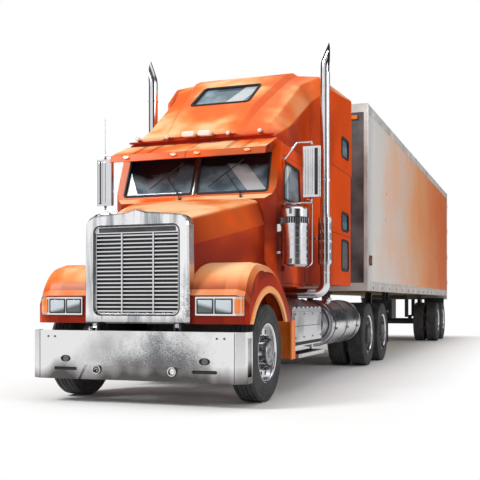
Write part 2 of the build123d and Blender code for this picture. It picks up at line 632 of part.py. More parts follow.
# Cab: closed shell with a sloped toe board, open behind into the sleeper
TOE = (1605.0, 1545.0)
CAB_MOUNTS = [1700.0, 2600.0]
COWL_TOP = 2262.0
CAB_PROFILE = [(TOE[0], CAB_FLOOR), (COWL_FRONT, TOE[1]), (COWL_FRONT, COWL_TOP), (SCREEN_FOOT, SCREEN_FOOT_Z),
               (SCREEN_HEAD, 2900.0), (SCREEN_HEAD + 25, CAB_TOP), (CAB_SEAM, CAB_TOP), (CAB_SEAM, CAB_FLOOR)]
CAB_INSIDE = [(TOE[0] + 35, CAB_FLOOR + FLOOR_THICK), (COWL_FRONT + PANEL, TOE[1] + 25),
              (COWL_FRONT + PANEL, COWL_TOP - 30), (SCREEN_FOOT + 45, SCREEN_FOOT_Z - 45),
              (SCREEN_HEAD + 40, 2870.0), (SCREEN_HEAD + 60, CAB_TOP - PANEL),
              (CAB_SEAM + 1, CAB_TOP - PANEL), (CAB_SEAM + 1, CAB_FLOOR + FLOOR_THICK)]
CORNER_CUT = [(CAB_HALF - 110, COWL_FRONT), (CAB_HALF, COWL_FRONT + 105)]
SCREEN_RISE = math.hypot(SCREEN_HEAD - SCREEN_FOOT, 2900.0 - SCREEN_FOOT_Z)
SCREEN_PLANE = Plane(origin=(0, st(SCREEN_FOOT), SCREEN_FOOT_Z), x_dir=(1, 0, 0),
                     z_dir=(0, -(2900.0 - SCREEN_FOOT_Z), SCREEN_HEAD - SCREEN_FOOT))
PANE_IN, PANE_OUT = 30.0, 930.0
PANE_LOW, PANE_HIGH = 40.0, SCREEN_RISE - 45.0
DOOR_CUT = ((DOOR_FRONT - DOOR_GAP, DOOR_REAR + DOOR_GAP), (DOOR_LOW - DOOR_GAP, DOOR_HIGH + DOOR_GAP))
HINGE_X = CAB_HALF + DOOR_HINGE_OUT
HINGE_L = DOOR_FRONT - DOOR_GAP / 2
HINGE_R = 12.0
HINGE_PIN_R = 6.0
HINGE_HEIGHTS = [1480.0, 2160.0, 2700.0]
HINGE_HALF = 28.0


def screen_panes(gap):
    """The two panes of the windscreen, in a sketch on its plane."""
    for side in (-1, 1):
        outline([(side * (PANE_IN + gap), PANE_LOW + gap), (side * (PANE_OUT - gap), PANE_LOW + gap),
                 (side * (PANE_OUT - 10 - gap), PANE_HIGH - gap), (side * (PANE_IN + gap), PANE_HIGH - gap)], 45)


def cab_inside():
    """The space inside the cab's panels."""
    with BuildPart(mode=Mode.PRIVATE) as inside:
        with BuildSketch(side_plane(-CAB_HALF + PANEL)):
            outline(at_length(CAB_INSIDE))
        extrude(amount=2 * (CAB_HALF - PANEL))
        with BuildSketch(Plane.XY.offset(CAB_FLOOR - 1)):
            for side in (-1, 1):
                outline([(side * (CORNER_CUT[0][0] - PANEL), st(CORNER_CUT[0][1])),
                         (side * (CAB_HALF + 1), st(COWL_FRONT - 1)),
                         (side * (CAB_HALF + 1), st(CORNER_CUT[1][1] + PANEL))])
        extrude(amount=CAB_TOP - CAB_FLOOR + 2, mode=Mode.SUBTRACT)
    return inside.part


with BuildPart() as cab_shell:
    with BuildSketch(side_plane(-CAB_HALF)):
        outline(at_length(CAB_PROFILE))
    extrude(amount=2 * CAB_HALF)
    with BuildSketch(Plane.XY.offset(CAB_FLOOR - 1)):
        for side in (-1, 1):
            outline([(side * CORNER_CUT[0][0], st(CORNER_CUT[0][1])), (side * (CAB_HALF + 1), st(COWL_FRONT - 1)),
                     (side * (CAB_HALF + 1), st(CORNER_CUT[1][1]))])
    extrude(amount=CAB_TOP - CAB_FLOOR + 2, mode=Mode.SUBTRACT)
    add(cab_inside(), mode=Mode.SUBTRACT)
    with BuildSketch(SCREEN_PLANE):
        screen_panes(0)
    extrude(amount=120, both=True, mode=Mode.SUBTRACT)
    for side in (-1, 1):
        block(sorted((side * (CAB_HALF - PANEL - 1), side * (CAB_HALF + 1))), *DOOR_CUT, Mode.SUBTRACT)
        for z in HINGE_HEIGHTS:
            for low, high in ((z - 2 * HINGE_HALF, z - HINGE_HALF - 1), (z + HINGE_HALF + 1, z + 2 * HINGE_HALF)):
                block(sorted((side * CAB_HALF, side * HINGE_X)), (HINGE_L - 30, HINGE_L - 3), (low, high))
                block(sorted((side * (CAB_HALF + 2), side * HINGE_X)), (HINGE_L - 30, HINGE_L), (low, high))
                rod((side * HINGE_X, HINGE_L, low), (side * HINGE_X, HINGE_L, high), HINGE_R)
            rod((side * HINGE_X, HINGE_L, z - HINGE_HALF - 2), (side * HINGE_X, HINGE_L, z + HINGE_HALF + 2),
                HINGE_PIN_R)
    for place in CAB_MOUNTS:
        block((-RAIL_HALF, RAIL_HALF), (place - 50, place + 50), (RAIL_TOP, CAB_FLOOR))
keep(cab_shell, "cab_shell")

# Sleeper: straight behind the cab, then flared out to full width, open to the cab and to the roof
SLEEPER_CORNER = 70.0
SLEEPER_MOUNTS = [3300.0, 4600.0]
SIDE_OPENINGS = [(4180.0, 4620.0, 2100.0, 2360.0), (4180.0, 4620.0, 1520.0, 1960.0)]


def sleeper_plan(inset):
    """Plan of the sleeper, moved inwards by inset except at its open front."""
    a, b = CAB_HALF - inset, SLEEPER_HALF - inset
    rear = st(SLEEPER_REAR - inset)
    front = st(CAB_SEAM - (1 if inset else 0))
    outline([(-a, front), (-a, st(FLARE_START)), (-b, st(FLARE_END)), (-b, rear),
             (b, rear), (b, st(FLARE_END)), (a, st(FLARE_START)), (a, front)],
            [0, 60, 60, SLEEPER_CORNER - inset / 2, SLEEPER_CORNER - inset / 2, 60, 60, 0])


with BuildPart() as sleeper_shell:
    with BuildSketch(Plane.XY.offset(SLEEPER_FLOOR)):
        sleeper_plan(0)
    extrude(amount=CAB_TOP - SLEEPER_FLOOR)
    with BuildSketch(Plane.XY.offset(SLEEPER_FLOOR + FLOOR_THICK)):
        sleeper_plan(PANEL)
    extrude(amount=CAB_TOP - SLEEPER_FLOOR, mode=Mode.SUBTRACT)
    for near, far, low, high in SIDE_OPENINGS:
        with BuildSketch(side_plane(-SLEEPER_HALF - 1)):
            with Locations((st((near + far) / 2), (low + high) / 2)):
                RectangleRounded(far - near, high - low, 60)
        extrude(amount=2 * SLEEPER_HALF + 2, mode=Mode.SUBTRACT)
    for place in SLEEPER_MOUNTS:
        block((-RAIL_HALF, RAIL_HALF), (place - 50, place + 50), (RAIL_TOP, SLEEPER_FLOOR))
keep(sleeper_shell, "sleeper_shell")

# Roof fairing: lofted raised roof over cab and sleeper, with a raised middle and a window in its slope.
# Each row is (length, half width, side top, outer shoulder, inner valley, half width of the middle, top)
ROOF_STATIONS = [
    (SCREEN_HEAD, 950.0, 3030.0, 3068.0, 3074.0, 450.0, 3100.0),
    (2350.0, 985.0, 3250.0, 3440.0, 3495.0, 500.0, 3575.0),
    (FLARE_START, 1034.0, 3740.0, 3990.0, 4050.0, 640.0, 4130.0),
    (FLARE_END, SLEEPER_HALF, 3960.0, 4150.0, 4185.0, 690.0, 4235.0),
    (SLEEPER_REAR, SLEEPER_HALF, 4110.0, 4235.0, 4245.0, 720.0, 4265.0),
]
SHOULDER = 150.0
ROOF_SKIN = 35.0
ROOF_WINDOW = (400.0, 2440.0, 2960.0)
UPPER_WINDOW = (4180.0, 4620.0, 3170.0, 3450.0)
LEDGE_OUT = 45.0


def roof_section(half, side_top, outer, valley, middle, top, base):
    """One cross section of the raised roof."""
    points = [(half, base), (half, side_top), (half - SHOULDER, outer), (middle + 70, valley), (middle, top)]
    edge = min(60.0, (side_top - base) / 3)
    outline([(-x, z) for x, z in points] + points[::-1],
            [0, edge, edge, 20, 20, 20, 20, edge, edge, 0])


def roof_body(inset):
    """Loft through the stations; inset 0 is the outside and the skin gives the inside."""
    rows = [list(row) for row in ROOF_STATIONS]
    rows[0][0] += inset
    rows[-1][0] -= inset
    base = CAB_TOP - (1 if inset else 0)
    with BuildPart(mode=Mode.PRIVATE) as body:
        for length, half, side_top, outer, valley, middle, top in rows:
            with BuildSketch(cross_plane(length)):
                roof_section(half - inset, side_top - inset, outer - inset, valley - inset,
                             middle, top - inset, base)
        loft(ruled=True)
    return body.part


with BuildPart() as roof_fairing:
    add(roof_body(0))
    add(roof_body(ROOF_SKIN), mode=Mode.SUBTRACT)
    half, near, far = ROOF_WINDOW
    with BuildSketch(Plane.XY.offset(CAB_TOP)):
        with Locations((0, st((near + far) / 2))):
            RectangleRounded(2 * half, far - near, 50)
    extrude(amount=2000, mode=Mode.SUBTRACT)
    near, far, low, high = UPPER_WINDOW
    with BuildSketch(side_plane(-SLEEPER_HALF - 1)):
        with Locations((st((near + far) / 2), (low + high) / 2)):
            RectangleRounded(far - near, high - low, 60)
    extrude(amount=2 * SLEEPER_HALF + 2, mode=Mode.SUBTRACT)
    ledge = ROOF_STATIONS[0][1] - 5
    block((-ledge, ledge), (SCREEN_HEAD - LEDGE_OUT, SCREEN_HEAD + 4), (3045, 3063))
keep(roof_fairing, "roof_fairing")

# Glass of the cab: two windscreen panes, the roof window and the panes and louvred covers of the sleeper
def roof_pane():
    """The roof window's pane, in the slope between the second and third station."""
    half, near, far = ROOF_WINDOW
    first, second = ROOF_STATIONS[1], ROOF_STATIONS[2]
    slope = (second[6] - first[6]) / (second[0] - first[0])
    ends = [(place, first[6] + slope * (place - first[0]) - 20) for place in (near - 30, far + 30)]
    with BuildPart(mode=Mode.PRIVATE) as sheet:
        with BuildSketch(side_plane(-half - 30)):
            outline(at_length(ends + [(place, z - GLASS) for place, z in ends[::-1]]))
        extrude(amount=2 * half + 60)
        with BuildSketch(Plane.XY.offset(CAB_TOP)):
            with Locations((0, st((near + far) / 2))):
                RectangleRounded(2 * (half - PLATE_GAP), far - near - 2 * PLATE_GAP, 50 - PLATE_GAP)
        extrude(amount=2000, mode=Mode.INTERSECT)
    return sheet.part


with BuildPart() as cab_glass:
    with BuildSketch(SCREEN_PLANE.offset(-18)):
        screen_panes(PLATE_GAP)
    extrude(amount=-GLASS)
    add(roof_pane())
    for near, far, low, high in SIDE_OPENINGS + [UPPER_WINDOW]:
        for side in (-1, 1):
            with BuildSketch(side_plane(side * (SLEEPER_HALF - 15))):
                with Locations((st((near + far) / 2), (low + high) / 2)):
                    RectangleRounded(far - near - 2 * PLATE_GAP, high - low - 2 * PLATE_GAP, 60 - PLATE_GAP)
            extrude(amount=-side * GLASS)
keep(cab_glass, "cab_glass")

# Sun visor: pressed sheet in front of the roof, closed by a cheek at each end
VISOR_HALF = 990.0
VISOR_SHEET = [(SCREEN_HEAD - PLATE_GAP, 3012.0), (1350.0, 2835.0), (1318.0, 2752.0), (1330.0, 2748.0),
               (1362.0, 2824.0), (SCREEN_HEAD - PLATE_GAP, 2998.0)]
VISOR_CHEEK = [(SCREEN_HEAD - PLATE_GAP, 3005.0), (1350.0, 2830.0), (1322.0, 2752.0), (1560.0, 2800.0),
               (SCREEN_HEAD - PLATE_GAP, 2930.0)]
VISOR_PLATE = 12.0
with BuildPart() as sun_visor:
    with BuildSketch(side_plane(-VISOR_HALF)):
        outline(at_length(VISOR_SHEET))
    extrude(amount=2 * VISOR_HALF)
    for x in (-VISOR_HALF, VISOR_HALF - VISOR_PLATE):
        with BuildSketch(side_plane(x)):
            outline(at_length(VISOR_CHEEK))
        extrude(amount=VISOR_PLATE)
keep(sun_visor, "sun_visor")

# Lamps of the cab: amber lamps on the visor's lip, bullet lamps and two oblong lamps at the roof's foot
VISOR_LAMP_X = [-770.0, -150.0, 150.0, 770.0]
BULLET_X = [-800.0, -400.0, 400.0, 800.0]
OBLONG_X = [-105.0, 105.0]
LAMP_SEAT = 3024.0
with BuildPart() as cab_lamps:
    for x in VISOR_LAMP_X:
        lip = Plane(origin=(x, st(1333.9), 2793.5), x_dir=(1, 0, 0), z_dir=(0, -83, 32))
        with BuildSketch(lip):
            Ellipse(38, 17)
        extrude(amount=22)
    for x in BULLET_X:
        rod((x, SCREEN_HEAD - LEDGE_OUT - 70, LAMP_SEAT + 62), (x, SCREEN_HEAD + 0, LAMP_SEAT + 62), 22)
    for x in OBLONG_X:
        with BuildSketch(cross_plane(SCREEN_HEAD)):
            with Locations((x, LAMP_SEAT + 76)):
                SlotOverall(170, 62)
        extrude(amount=70)
keep(cab_lamps, "cab_lamps")

# Cab doors: panel as thick as the wall, glass in its window, and a mirror on tube arms
DOOR_WINDOW = [(1905.0, 2290.0), (1905.0, 2745.0), (2560.0, 2725.0), (2620.0, 2290.0)]
WINDOW_ROUND = 50.0
MIRROR_SIZE = (224.0, 50.0, 600.0)
MIRROR_Z = 2600.0
ARM_R = 11.0
ARM_LOW, ARM_HIGH = 2235.0, 2960.0
ANTENNA = (-1, 5.0, 3430.0)
for name, side in (("left", 1), ("right", -1)):
    outer = side * CAB_HALF
    with BuildPart() as door:
        block(sorted((side * (CAB_HALF - PANEL), outer)), (DOOR_FRONT, DOOR_REAR), (DOOR_LOW, DOOR_HIGH))
        with BuildSketch(side_plane(outer + side)):
            outline(at_length(DOOR_WINDOW), WINDOW_ROUND)
        extrude(amount=-side * (PANEL + 2), mode=Mode.SUBTRACT)
        for z in HINGE_HEIGHTS:
            block(sorted((outer, side * HINGE_X)), (HINGE_L, DOOR_FRONT + 40), (z - HINGE_HALF, z + HINGE_HALF))
            rod((side * HINGE_X, HINGE_L, z - HINGE_HALF), (side * HINGE_X, HINGE_L, z + HINGE_HALF), HINGE_R)
            rod((side * HINGE_X, HINGE_L, z - HINGE_HALF - 1), (side * HINGE_X, HINGE_L, z + HINGE_HALF + 1),
                HINGE_PIN_R + RUN_FIT, Mode.SUBTRACT)
    keep(door, f"door_{name}")
    with BuildPart() as door_glass:
        with BuildSketch(side_plane(side * (CAB_HALF - 16))) as pane:
            outline(at_length(DOOR_WINDOW), WINDOW_ROUND)
            offset(amount=-PLATE_GAP, mode=Mode.REPLACE)
        extrude(amount=-side * GLASS)
    keep(door_glass, f"door_glass_{name}")
    with BuildPart() as mirror:
        x = side * MIRROR_X
        with BuildSketch(Plane.XY.offset(MIRROR_Z - MIRROR_SIZE[2] / 2)):
            with Locations((x, st(MIRROR_L))):
                RectangleRounded(MIRROR_SIZE[0], MIRROR_SIZE[1], 20)
        extrude(amount=MIRROR_SIZE[2])
        rod((x, MIRROR_L, ARM_LOW), (x, MIRROR_L, ARM_HIGH), ARM_R)
        rod((outer, MIRROR_L, ARM_LOW), (x + side * ARM_R, MIRROR_L, ARM_LOW), ARM_R)
        for z in (ARM_LOW, DOOR_HIGH - 40):
            block(sorted((outer, outer + side * 12)), (MIRROR_L - 30, MIRROR_L + 30), (z - 30, z + 30))
        rod((outer + side * 9, MIRROR_L, DOOR_HIGH - 40), (side * (CAB_HALF + 160), MIRROR_L, ARM_HIGH - 4), ARM_R)
        rod((side * (CAB_HALF + 150), MIRROR_L, ARM_HIGH - 8), (x + side * ARM_R, MIRROR_L, ARM_HIGH - 8), ARM_R)
        if side == ANTENNA[0]:
            rod((x, MIRROR_L, ARM_HIGH - 5), (x, MIRROR_L, ANTENNA[2]), ANTENNA[1])
    keep(mirror, f"mirror_{name}")

# Exhaust stacks: elbow from under the cab, clamp, heat shield, pipe and an outswept tip cut upright
ELBOW_R = 130.0
SHIELD_Z = (1560.0, 2172.0)
TIP_Z = 4420.0
TIP_OUT, TIP_BACK = 110.0, 30.0
PIPE_WALL = 6.0
STACK_CLAMPS = [1548.0, 2660.0]
STACK_STAYS = [1900.0, 2660.0]
with BuildPart() as exhaust_stacks:
    for side in (-1, 1):
        x, y = side * STACK_X, st(STACK_L)
        with BuildLine() as route:
            FilletPolyline((x, y, SHIELD_Z[0] + 20), (x, y, 1175), (side * 330, y - 150, 1175), radius=ELBOW_R)
        with BuildSketch(Plane.XY.offset(SHIELD_Z[0] + 20)):
            with Locations((x, y)):
                Circle(STACK_R)
        sweep(path=route.line)
        with BuildLine() as route:
            FilletPolyline((x, y, SHIELD_Z[0]), (x, y, STACK_TOP + 110),
                           (x + side * TIP_OUT, y + TIP_BACK, TIP_Z + 40), radius=260)
        with BuildSketch(Plane.XY.offset(SHIELD_Z[0])):
            with Locations((x, y)):
                Circle(STACK_R)
        sweep(path=route.line)
        cut = sorted((x + side * 48, x + side * 400))
        block(cut, (STACK_L - 300, STACK_L + 400), (STACK_TOP, TIP_Z + 200), Mode.SUBTRACT)
        rod((x, STACK_L, SHIELD_Z[0]), (x, STACK_L, SHIELD_Z[1]), SHIELD_R)
        for z in STACK_CLAMPS:
            rod((x, STACK_L, z - 16), (x, STACK_L, z + 16), STACK_R + 9)
        for z in STACK_STAYS:
            block(sorted((side * CAB_HALF, x)), (STACK_L - 18, STACK_L + 18), (z - 18, z + 18))
keep(exhaust_stacks, "exhaust_stacks")

# Air cleaners: banded canisters on the cowl sides
CLEANER_BANDS = [(CLEANER_LOW, 40.0), (CLEANER_LOW + 130, 26.0), (CLEANER_HIGH - 190, 26.0), (CLEANER_HIGH - 90, 90.0)]
with BuildPart() as air_cleaners:
    for side in (-1, 1):
        x = side * CLEANER_X
        with BuildSketch(Plane(origin=(x, st(CLEANER_L), 0), x_dir=(1, 0, 0), z_dir=(0, -1, 0))):
            with BuildLine():
                Polyline((0, CLEANER_LOW - 25), (CLEANER_R - 45, CLEANER_LOW - 25), (CLEANER_R - 8, CLEANER_LOW),
                         (CLEANER_R - 8, CLEANER_HIGH), (CLEANER_R - 30, CLEANER_HIGH + 22),
                         (40, CLEANER_HIGH + 58), (0, CLEANER_HIGH + 58), (0, CLEANER_LOW - 25))
            make_face()
        revolve(axis=Axis((x, st(CLEANER_L), 0), (0, 0, 1)))
        for z, high in CLEANER_BANDS:
            rod((x, CLEANER_L, z), (x, CLEANER_L, z + high), CLEANER_R)
        for z in (CLEANER_LOW + 130, CLEANER_HIGH - 190):
            block(sorted((side * CAB_HALF, x)), (CLEANER_L - 50, CLEANER_L + 60), (z, z + 26))
        block(sorted((side * CAB_HALF, side * (CLEANER_X - 90))), (CLEANER_L - 50, CLEANER_L + 60), (1880, 1940))
keep(air_cleaners, "air_cleaners")

# Fuel tanks with straps, and a ringed air tank ahead of each
TANK_STRAPS = [TANK_FRONT + 250, (TANK_FRONT + TANK_REAR) / 2, TANK_REAR - 250]
AIR_TANK = (3300.0, 3560.0, 215.0)
with BuildPart() as fuel_tanks:
    for side in (-1, 1):
        x = side * TANK_X
        rod((x, TANK_FRONT + 30, TANK_Z), (x, TANK_REAR - 30, TANK_Z), TANK_R)
        rod((x, TANK_FRONT, TANK_Z), (x, TANK_REAR, TANK_Z), TANK_R - 35)
        for place in TANK_STRAPS:
            rod((x, place - 32, TANK_Z), (x, place + 32, TANK_Z), TANK_R + 8)
            block(sorted((side * RAIL_HALF, side * (TANK_X - 200))), (place - 32, place + 32), (TANK_Z - 60, RAIL_TOP))
        low, high, radius = AIR_TANK
        rod((x + side * 60, low, TANK_Z), (x + side * 60, high, TANK_Z), radius)
        for place in (low + 50, (low + high) / 2, high - 50):
            rod((x + side * 60, place - 9, TANK_Z), (x + side * 60, place + 9, TANK_Z), radius + 10)
        block(sorted((side * RAIL_HALF, side * (TANK_X - 60))), (low + 80, high - 80), (TANK_Z - 40, TANK_Z + 90))
keep(fuel_tanks, "fuel_tanks")

# Step boxes below the cab: ribbed sloped lid, covered side and a tread below
STEP_BOX = [(RAIL_HALF, 1090.0), (900.0, 1090.0), (1150.0, 985.0), (1150.0, 520.0), (RAIL_HALF, 520.0)]
LID_RIBS = 7
TREAD_BOARD = ((1000.0, 1225.0), (BOX_FRONT + 20, BOX_REAR - 150), (395.0, 440.0))
COVER = ((1150.0, 1164.0), (BOX_FRONT + 60, BOX_REAR - 60), (600.0, 945.0))
with BuildPart() as step_boxes:
    for side in (-1, 1):
        with BuildSketch(cross_plane(BOX_FRONT)):
            outline([(side * x, z) for x, z in STEP_BOX])
        extrude(amount=-(BOX_REAR - BOX_FRONT))
        pitch = (BOX_REAR - BOX_FRONT) / LID_RIBS
        for number in range(LID_RIBS):
            near = BOX_FRONT + (number + 0.28) * pitch
            with BuildSketch(cross_plane(near)):
                outline([(side * 900, 1080), (side * 905, 1103), (side * 1152, 1000), (side * 1146, 980)])
            extrude(amount=-0.44 * pitch)
        x, y, z = COVER
        block(sorted((side * x[0], side * x[1])), y, z)
        x, y, z = TREAD_BOARD
        block(sorted((side * x[0], side * x[1])), y, z)
        for place in (y[0] + 60, y[1] - 120):
            block(sorted((side * 1060, side * 1090)), (place, place + 60), (z[1], STEP_BOX[3][1]))
keep(step_boxes, "step_boxes")

# Lower skirts behind the front wheels
SKIRT = (1645.0, 1800.0, 395.0, 850.0)
with BuildPart() as side_skirts:
    front, rear, low, high = SKIRT
    for side in (-1, 1):
        block(sorted((side * 1190, side * 1206)), (front, rear), (low, high))
        block(sorted((side * 820, side * 1206)), (rear - 16, rear), (low, high))
        block(sorted((side * 1000, side * 1060)), (rear, BOX_FRONT), (600, 700))
keep(side_skirts, "side_skirts")

# Fifth wheel: plate with a flared slot for the kingpin, on two pedestals
COUPLER_PIN_R = 25.4
PLATE_R = 480.0
PLATE_THICK = 42.0
PLATE_TOP = COUPLER_Z - PLATE_GAP
with BuildPart() as fifth_wheel:
    with BuildSketch(Plane.XY.offset(PLATE_TOP - PLATE_THICK)):
        with Locations((0, st(KINGPIN))):
            Circle(PLATE_R)
            Circle(COUPLER_PIN_R + RUN_FIT, mode=Mode.SUBTRACT)
    extrude(amount=PLATE_THICK)
    with BuildSketch(Plane.XY.offset(PLATE_TOP - PLATE_THICK)):
        outline([(-COUPLER_PIN_R - RUN_FIT, st(KINGPIN)), (COUPLER_PIN_R + RUN_FIT, st(KINGPIN)),
                 (COUPLER_PIN_R + RUN_FIT, st(KINGPIN + 90)), (150, st(KINGPIN + PLATE_R + 1)),
                 (-150, st(KINGPIN + PLATE_R + 1)), (-COUPLER_PIN_R - RUN_FIT, st(KINGPIN + 90))])
    extrude(amount=PLATE_THICK, mode=Mode.SUBTRACT)
    for side in (-1, 1):
        block(sorted((side * (RAIL_HALF - 90), side * RAIL_HALF)), (KINGPIN - 130, KINGPIN + 130),
              (RAIL_TOP, PLATE_TOP - PLATE_THICK))
keep(fifth_wheel, "fifth_wheel")

# Drive axles: housings with final drives, spindles, equalising beams and the propeller shaft
AXLE_TUBE_R = 65.0
TUBE_END = 745.0
SPINDLE_REACH = DRIVE_TYRE_X - DUAL_SPACING / 2 + SPINDLE_END - 5
BEAM_X = 480.0
with BuildPart() as drive_axles:
    for place in DRIVE_AXLES:
        rod((-TUBE_END, place, AXLE_Z), (TUBE_END, place, AXLE_Z), AXLE_TUBE_R)
        rod((-SPINDLE_REACH, place, AXLE_Z), (SPINDLE_REACH, place, AXLE_Z), SPINDLE_R)
        rod((0, place - 260, AXLE_Z + 20), (0, place + 90, AXLE_Z + 20), 120)
        rod((-70, place, AXLE_Z), (70, place, AXLE_Z), 185)
        for side in (-1, 1):
            x = side * (RAIL_HALF - 45)
            block((x - 40, x + 40), (place - 60, place + 60), (AXLE_Z + 40, RAIL_BOTTOM))
    for side in (-1, 1):
        x = side * BEAM_X
        block((x - 35, x + 35), (DRIVE_AXLES[0] - 90, DRIVE_AXLES[1] + 90), (AXLE_Z - 40, AXLE_Z + 70))
    rod((0, 1300, AXLE_Z + 120), (0, DRIVE_AXLES[0] - 200, AXLE_Z + 30), 55)
    rod((0, DRIVE_AXLES[0], AXLE_Z + 20), (0, DRIVE_AXLES[1], AXLE_Z + 20), 50)
keep(drive_axles, "drive_axles")

# Cab interior: dash with steering wheel on a console, and two seats
SEAT_X = 480.0
with BuildPart() as cab_interior:
    with BuildSketch(side_plane(-930)):
        outline(at_length([(1575, 1900), (1565, 2235), (1700, 2262), (1860, 2150), (1860, 1960), (1760, 1900)]))
    extrude(amount=1860)
    block((-240, 240), (1645, 1800), (CAB_FLOOR + FLOOR_THICK, 1900))
    hub = (SEAT_X, 2060.0, 2125.0)
    rod((SEAT_X, 1800, 2010), hub, 24)
    with Locations(Plane(origin=(hub[0], st(hub[1]), hub[2]), x_dir=(1, 0, 0), z_dir=(0, 0.8, 0.6)).location):
        Torus(225, 16)
        Box(430, 34, 14)
        Cylinder(48, 30)
    for side in (-1, 1):
        x = side * SEAT_X
        rod((x, 2480, CAB_FLOOR + FLOOR_THICK), (x, 2480, 1640), 130)
        block((x - 250, x + 250), (2230, 2720), (1640, 1790))
        with BuildSketch(side_plane(x - 240)):
            outline(at_length([(2600, 1790), (2700, 2470), (2790, 2470), (2740, 1790)]), 30)
        extrude(amount=480)
keep(cab_interior, "cab_interior")

# Semitrailer frame: side rails, corner posts, front beams, rear frame with its sill and guard
RAIL_IN = BOX_HALF - 50.0
BOTTOM_RAIL = (COUPLER_Z, COUPLER_Z + 160)
TOP_RAIL = (BOX_TOP - 140, BOX_TOP)
POST_DEEP = 60.0
FRAME_DEEP = 90.0
FLOOR_TOP = COUPLER_Z + 130.0
FLOOR_BOARD = 30.0
DOORWAY = (FLOOR_TOP + 10, BOX_TOP - 115)
DOORWAY_HALF = BOX_HALF - REAR_POST
CARGO_HINGES = [DOORWAY[0] + 250 + 760 * number for number in range(4)]
CARGO_PIN_L = TAIL + CARGO_PIN_OUT
SILL_LOW = COUPLER_Z - 110.0
CARGO_KNUCKLE_R = 12.0
KNUCKLE_HALF = 35.0
with BuildPart() as trailer_frame:
    for side in (-1, 1):
        for low, high in (BOTTOM_RAIL, TOP_RAIL):
            block(sorted((side * RAIL_IN, side * BOX_HALF)), (NOSE, TAIL), (low, high))
        block(sorted((side * (BOX_HALF - 60), side * BOX_HALF)), (NOSE, NOSE + POST_DEEP), (COUPLER_Z, BOX_TOP))
        block(sorted((side * DOORWAY_HALF, side * BOX_HALF)), (TAIL - FRAME_DEEP, TAIL), (SILL_LOW, BOX_TOP))
        for z in CARGO_HINGES:
            for low, high in ((z - KNUCKLE_HALF - 36, z - KNUCKLE_HALF - 1), (z + KNUCKLE_HALF + 1, z + KNUCKLE_HALF + 36)):
                block(sorted((side * (BOX_HALF - 30), side * BOX_HALF)), (TAIL, CARGO_PIN_L), (low, high))
                x = side * CARGO_PIN_X
                rod((x, CARGO_PIN_L, low), (x, CARGO_PIN_L, high), CARGO_KNUCKLE_R)
            rod((x, CARGO_PIN_L, z - KNUCKLE_HALF - 2), (x, CARGO_PIN_L, z + KNUCKLE_HALF + 2), CARGO_PIN_R)
        block(sorted((side * 480, side * 560)), (TAIL - 60, TAIL - 10), (560, SILL_LOW))
    for low, high in ((COUPLER_Z, FLOOR_TOP), TOP_RAIL):
        block((-BOX_HALF, BOX_HALF), (NOSE, NOSE + POST_DEEP), (low, high))
    block((-BOX_HALF, BOX_HALF), (TAIL - FRAME_DEEP, TAIL), (SILL_LOW, FLOOR_TOP + 5))
    block((-BOX_HALF, BOX_HALF), (TAIL - FRAME_DEEP, TAIL), (DOORWAY[1] + 5, BOX_TOP))
    block((-1150, 1150), (TAIL - 60, TAIL - 10), (460, 560))
keep(trailer_frame, "trailer_frame")

# Trailer walls and roof between the rails
WALL_X = (BOX_HALF - 38, BOX_HALF - 8)
with BuildPart() as trailer_sides:
    for side in (-1, 1):
        block(sorted((side * WALL_X[0], side * WALL_X[1])), (NOSE + POST_DEEP, TAIL - FRAME_DEEP),
              (BOTTOM_RAIL[1], TOP_RAIL[0]))
keep(trailer_sides, "trailer_sides")

with BuildPart() as trailer_front:
    block((-BOX_HALF + 60, BOX_HALF - 60), (NOSE + 12, NOSE + 42), (FLOOR_TOP, TOP_RAIL[0]))
keep(trailer_front, "trailer_front")

with BuildPart() as trailer_roof:
    block((-RAIL_IN, RAIL_IN), (NOSE + POST_DEEP, TAIL - FRAME_DEEP), (BOX_TOP - 34, BOX_TOP - 4))
keep(trailer_roof, "trailer_roof")

# Trailer floor: boards on crossmembers, with the coupler plate and the kingpin under its front
CROSS_PITCH = 620.0
CROSS_FIRST = NOSE + POST_DEEP + 100
CROSS_COUNT = int((TAIL - FRAME_DEEP - CROSS_FIRST - 100) / CROSS_PITCH)
KINGPIN_LONG = 84.0
with BuildPart() as trailer_floor:
    block((-RAIL_IN, RAIL_IN), (NOSE + POST_DEEP, TAIL - FRAME_DEEP), (FLOOR_TOP - FLOOR_BOARD, FLOOR_TOP))
    for number in range(CROSS_COUNT + 1):
        place = CROSS_FIRST + number * CROSS_PITCH
        block((-RAIL_IN, RAIL_IN), (place - 25, place + 25), (COUPLER_Z + 10, FLOOR_TOP - FLOOR_BOARD))
    block((-620, 620), (NOSE + POST_DEEP, KINGPIN + 700), (COUPLER_Z, COUPLER_Z + 10))
    rod((0, KINGPIN, COUPLER_Z - KINGPIN_LONG), (0, KINGPIN, COUPLER_Z + 5), COUPLER_PIN_R)
keep(trailer_floor, "trailer_floor")

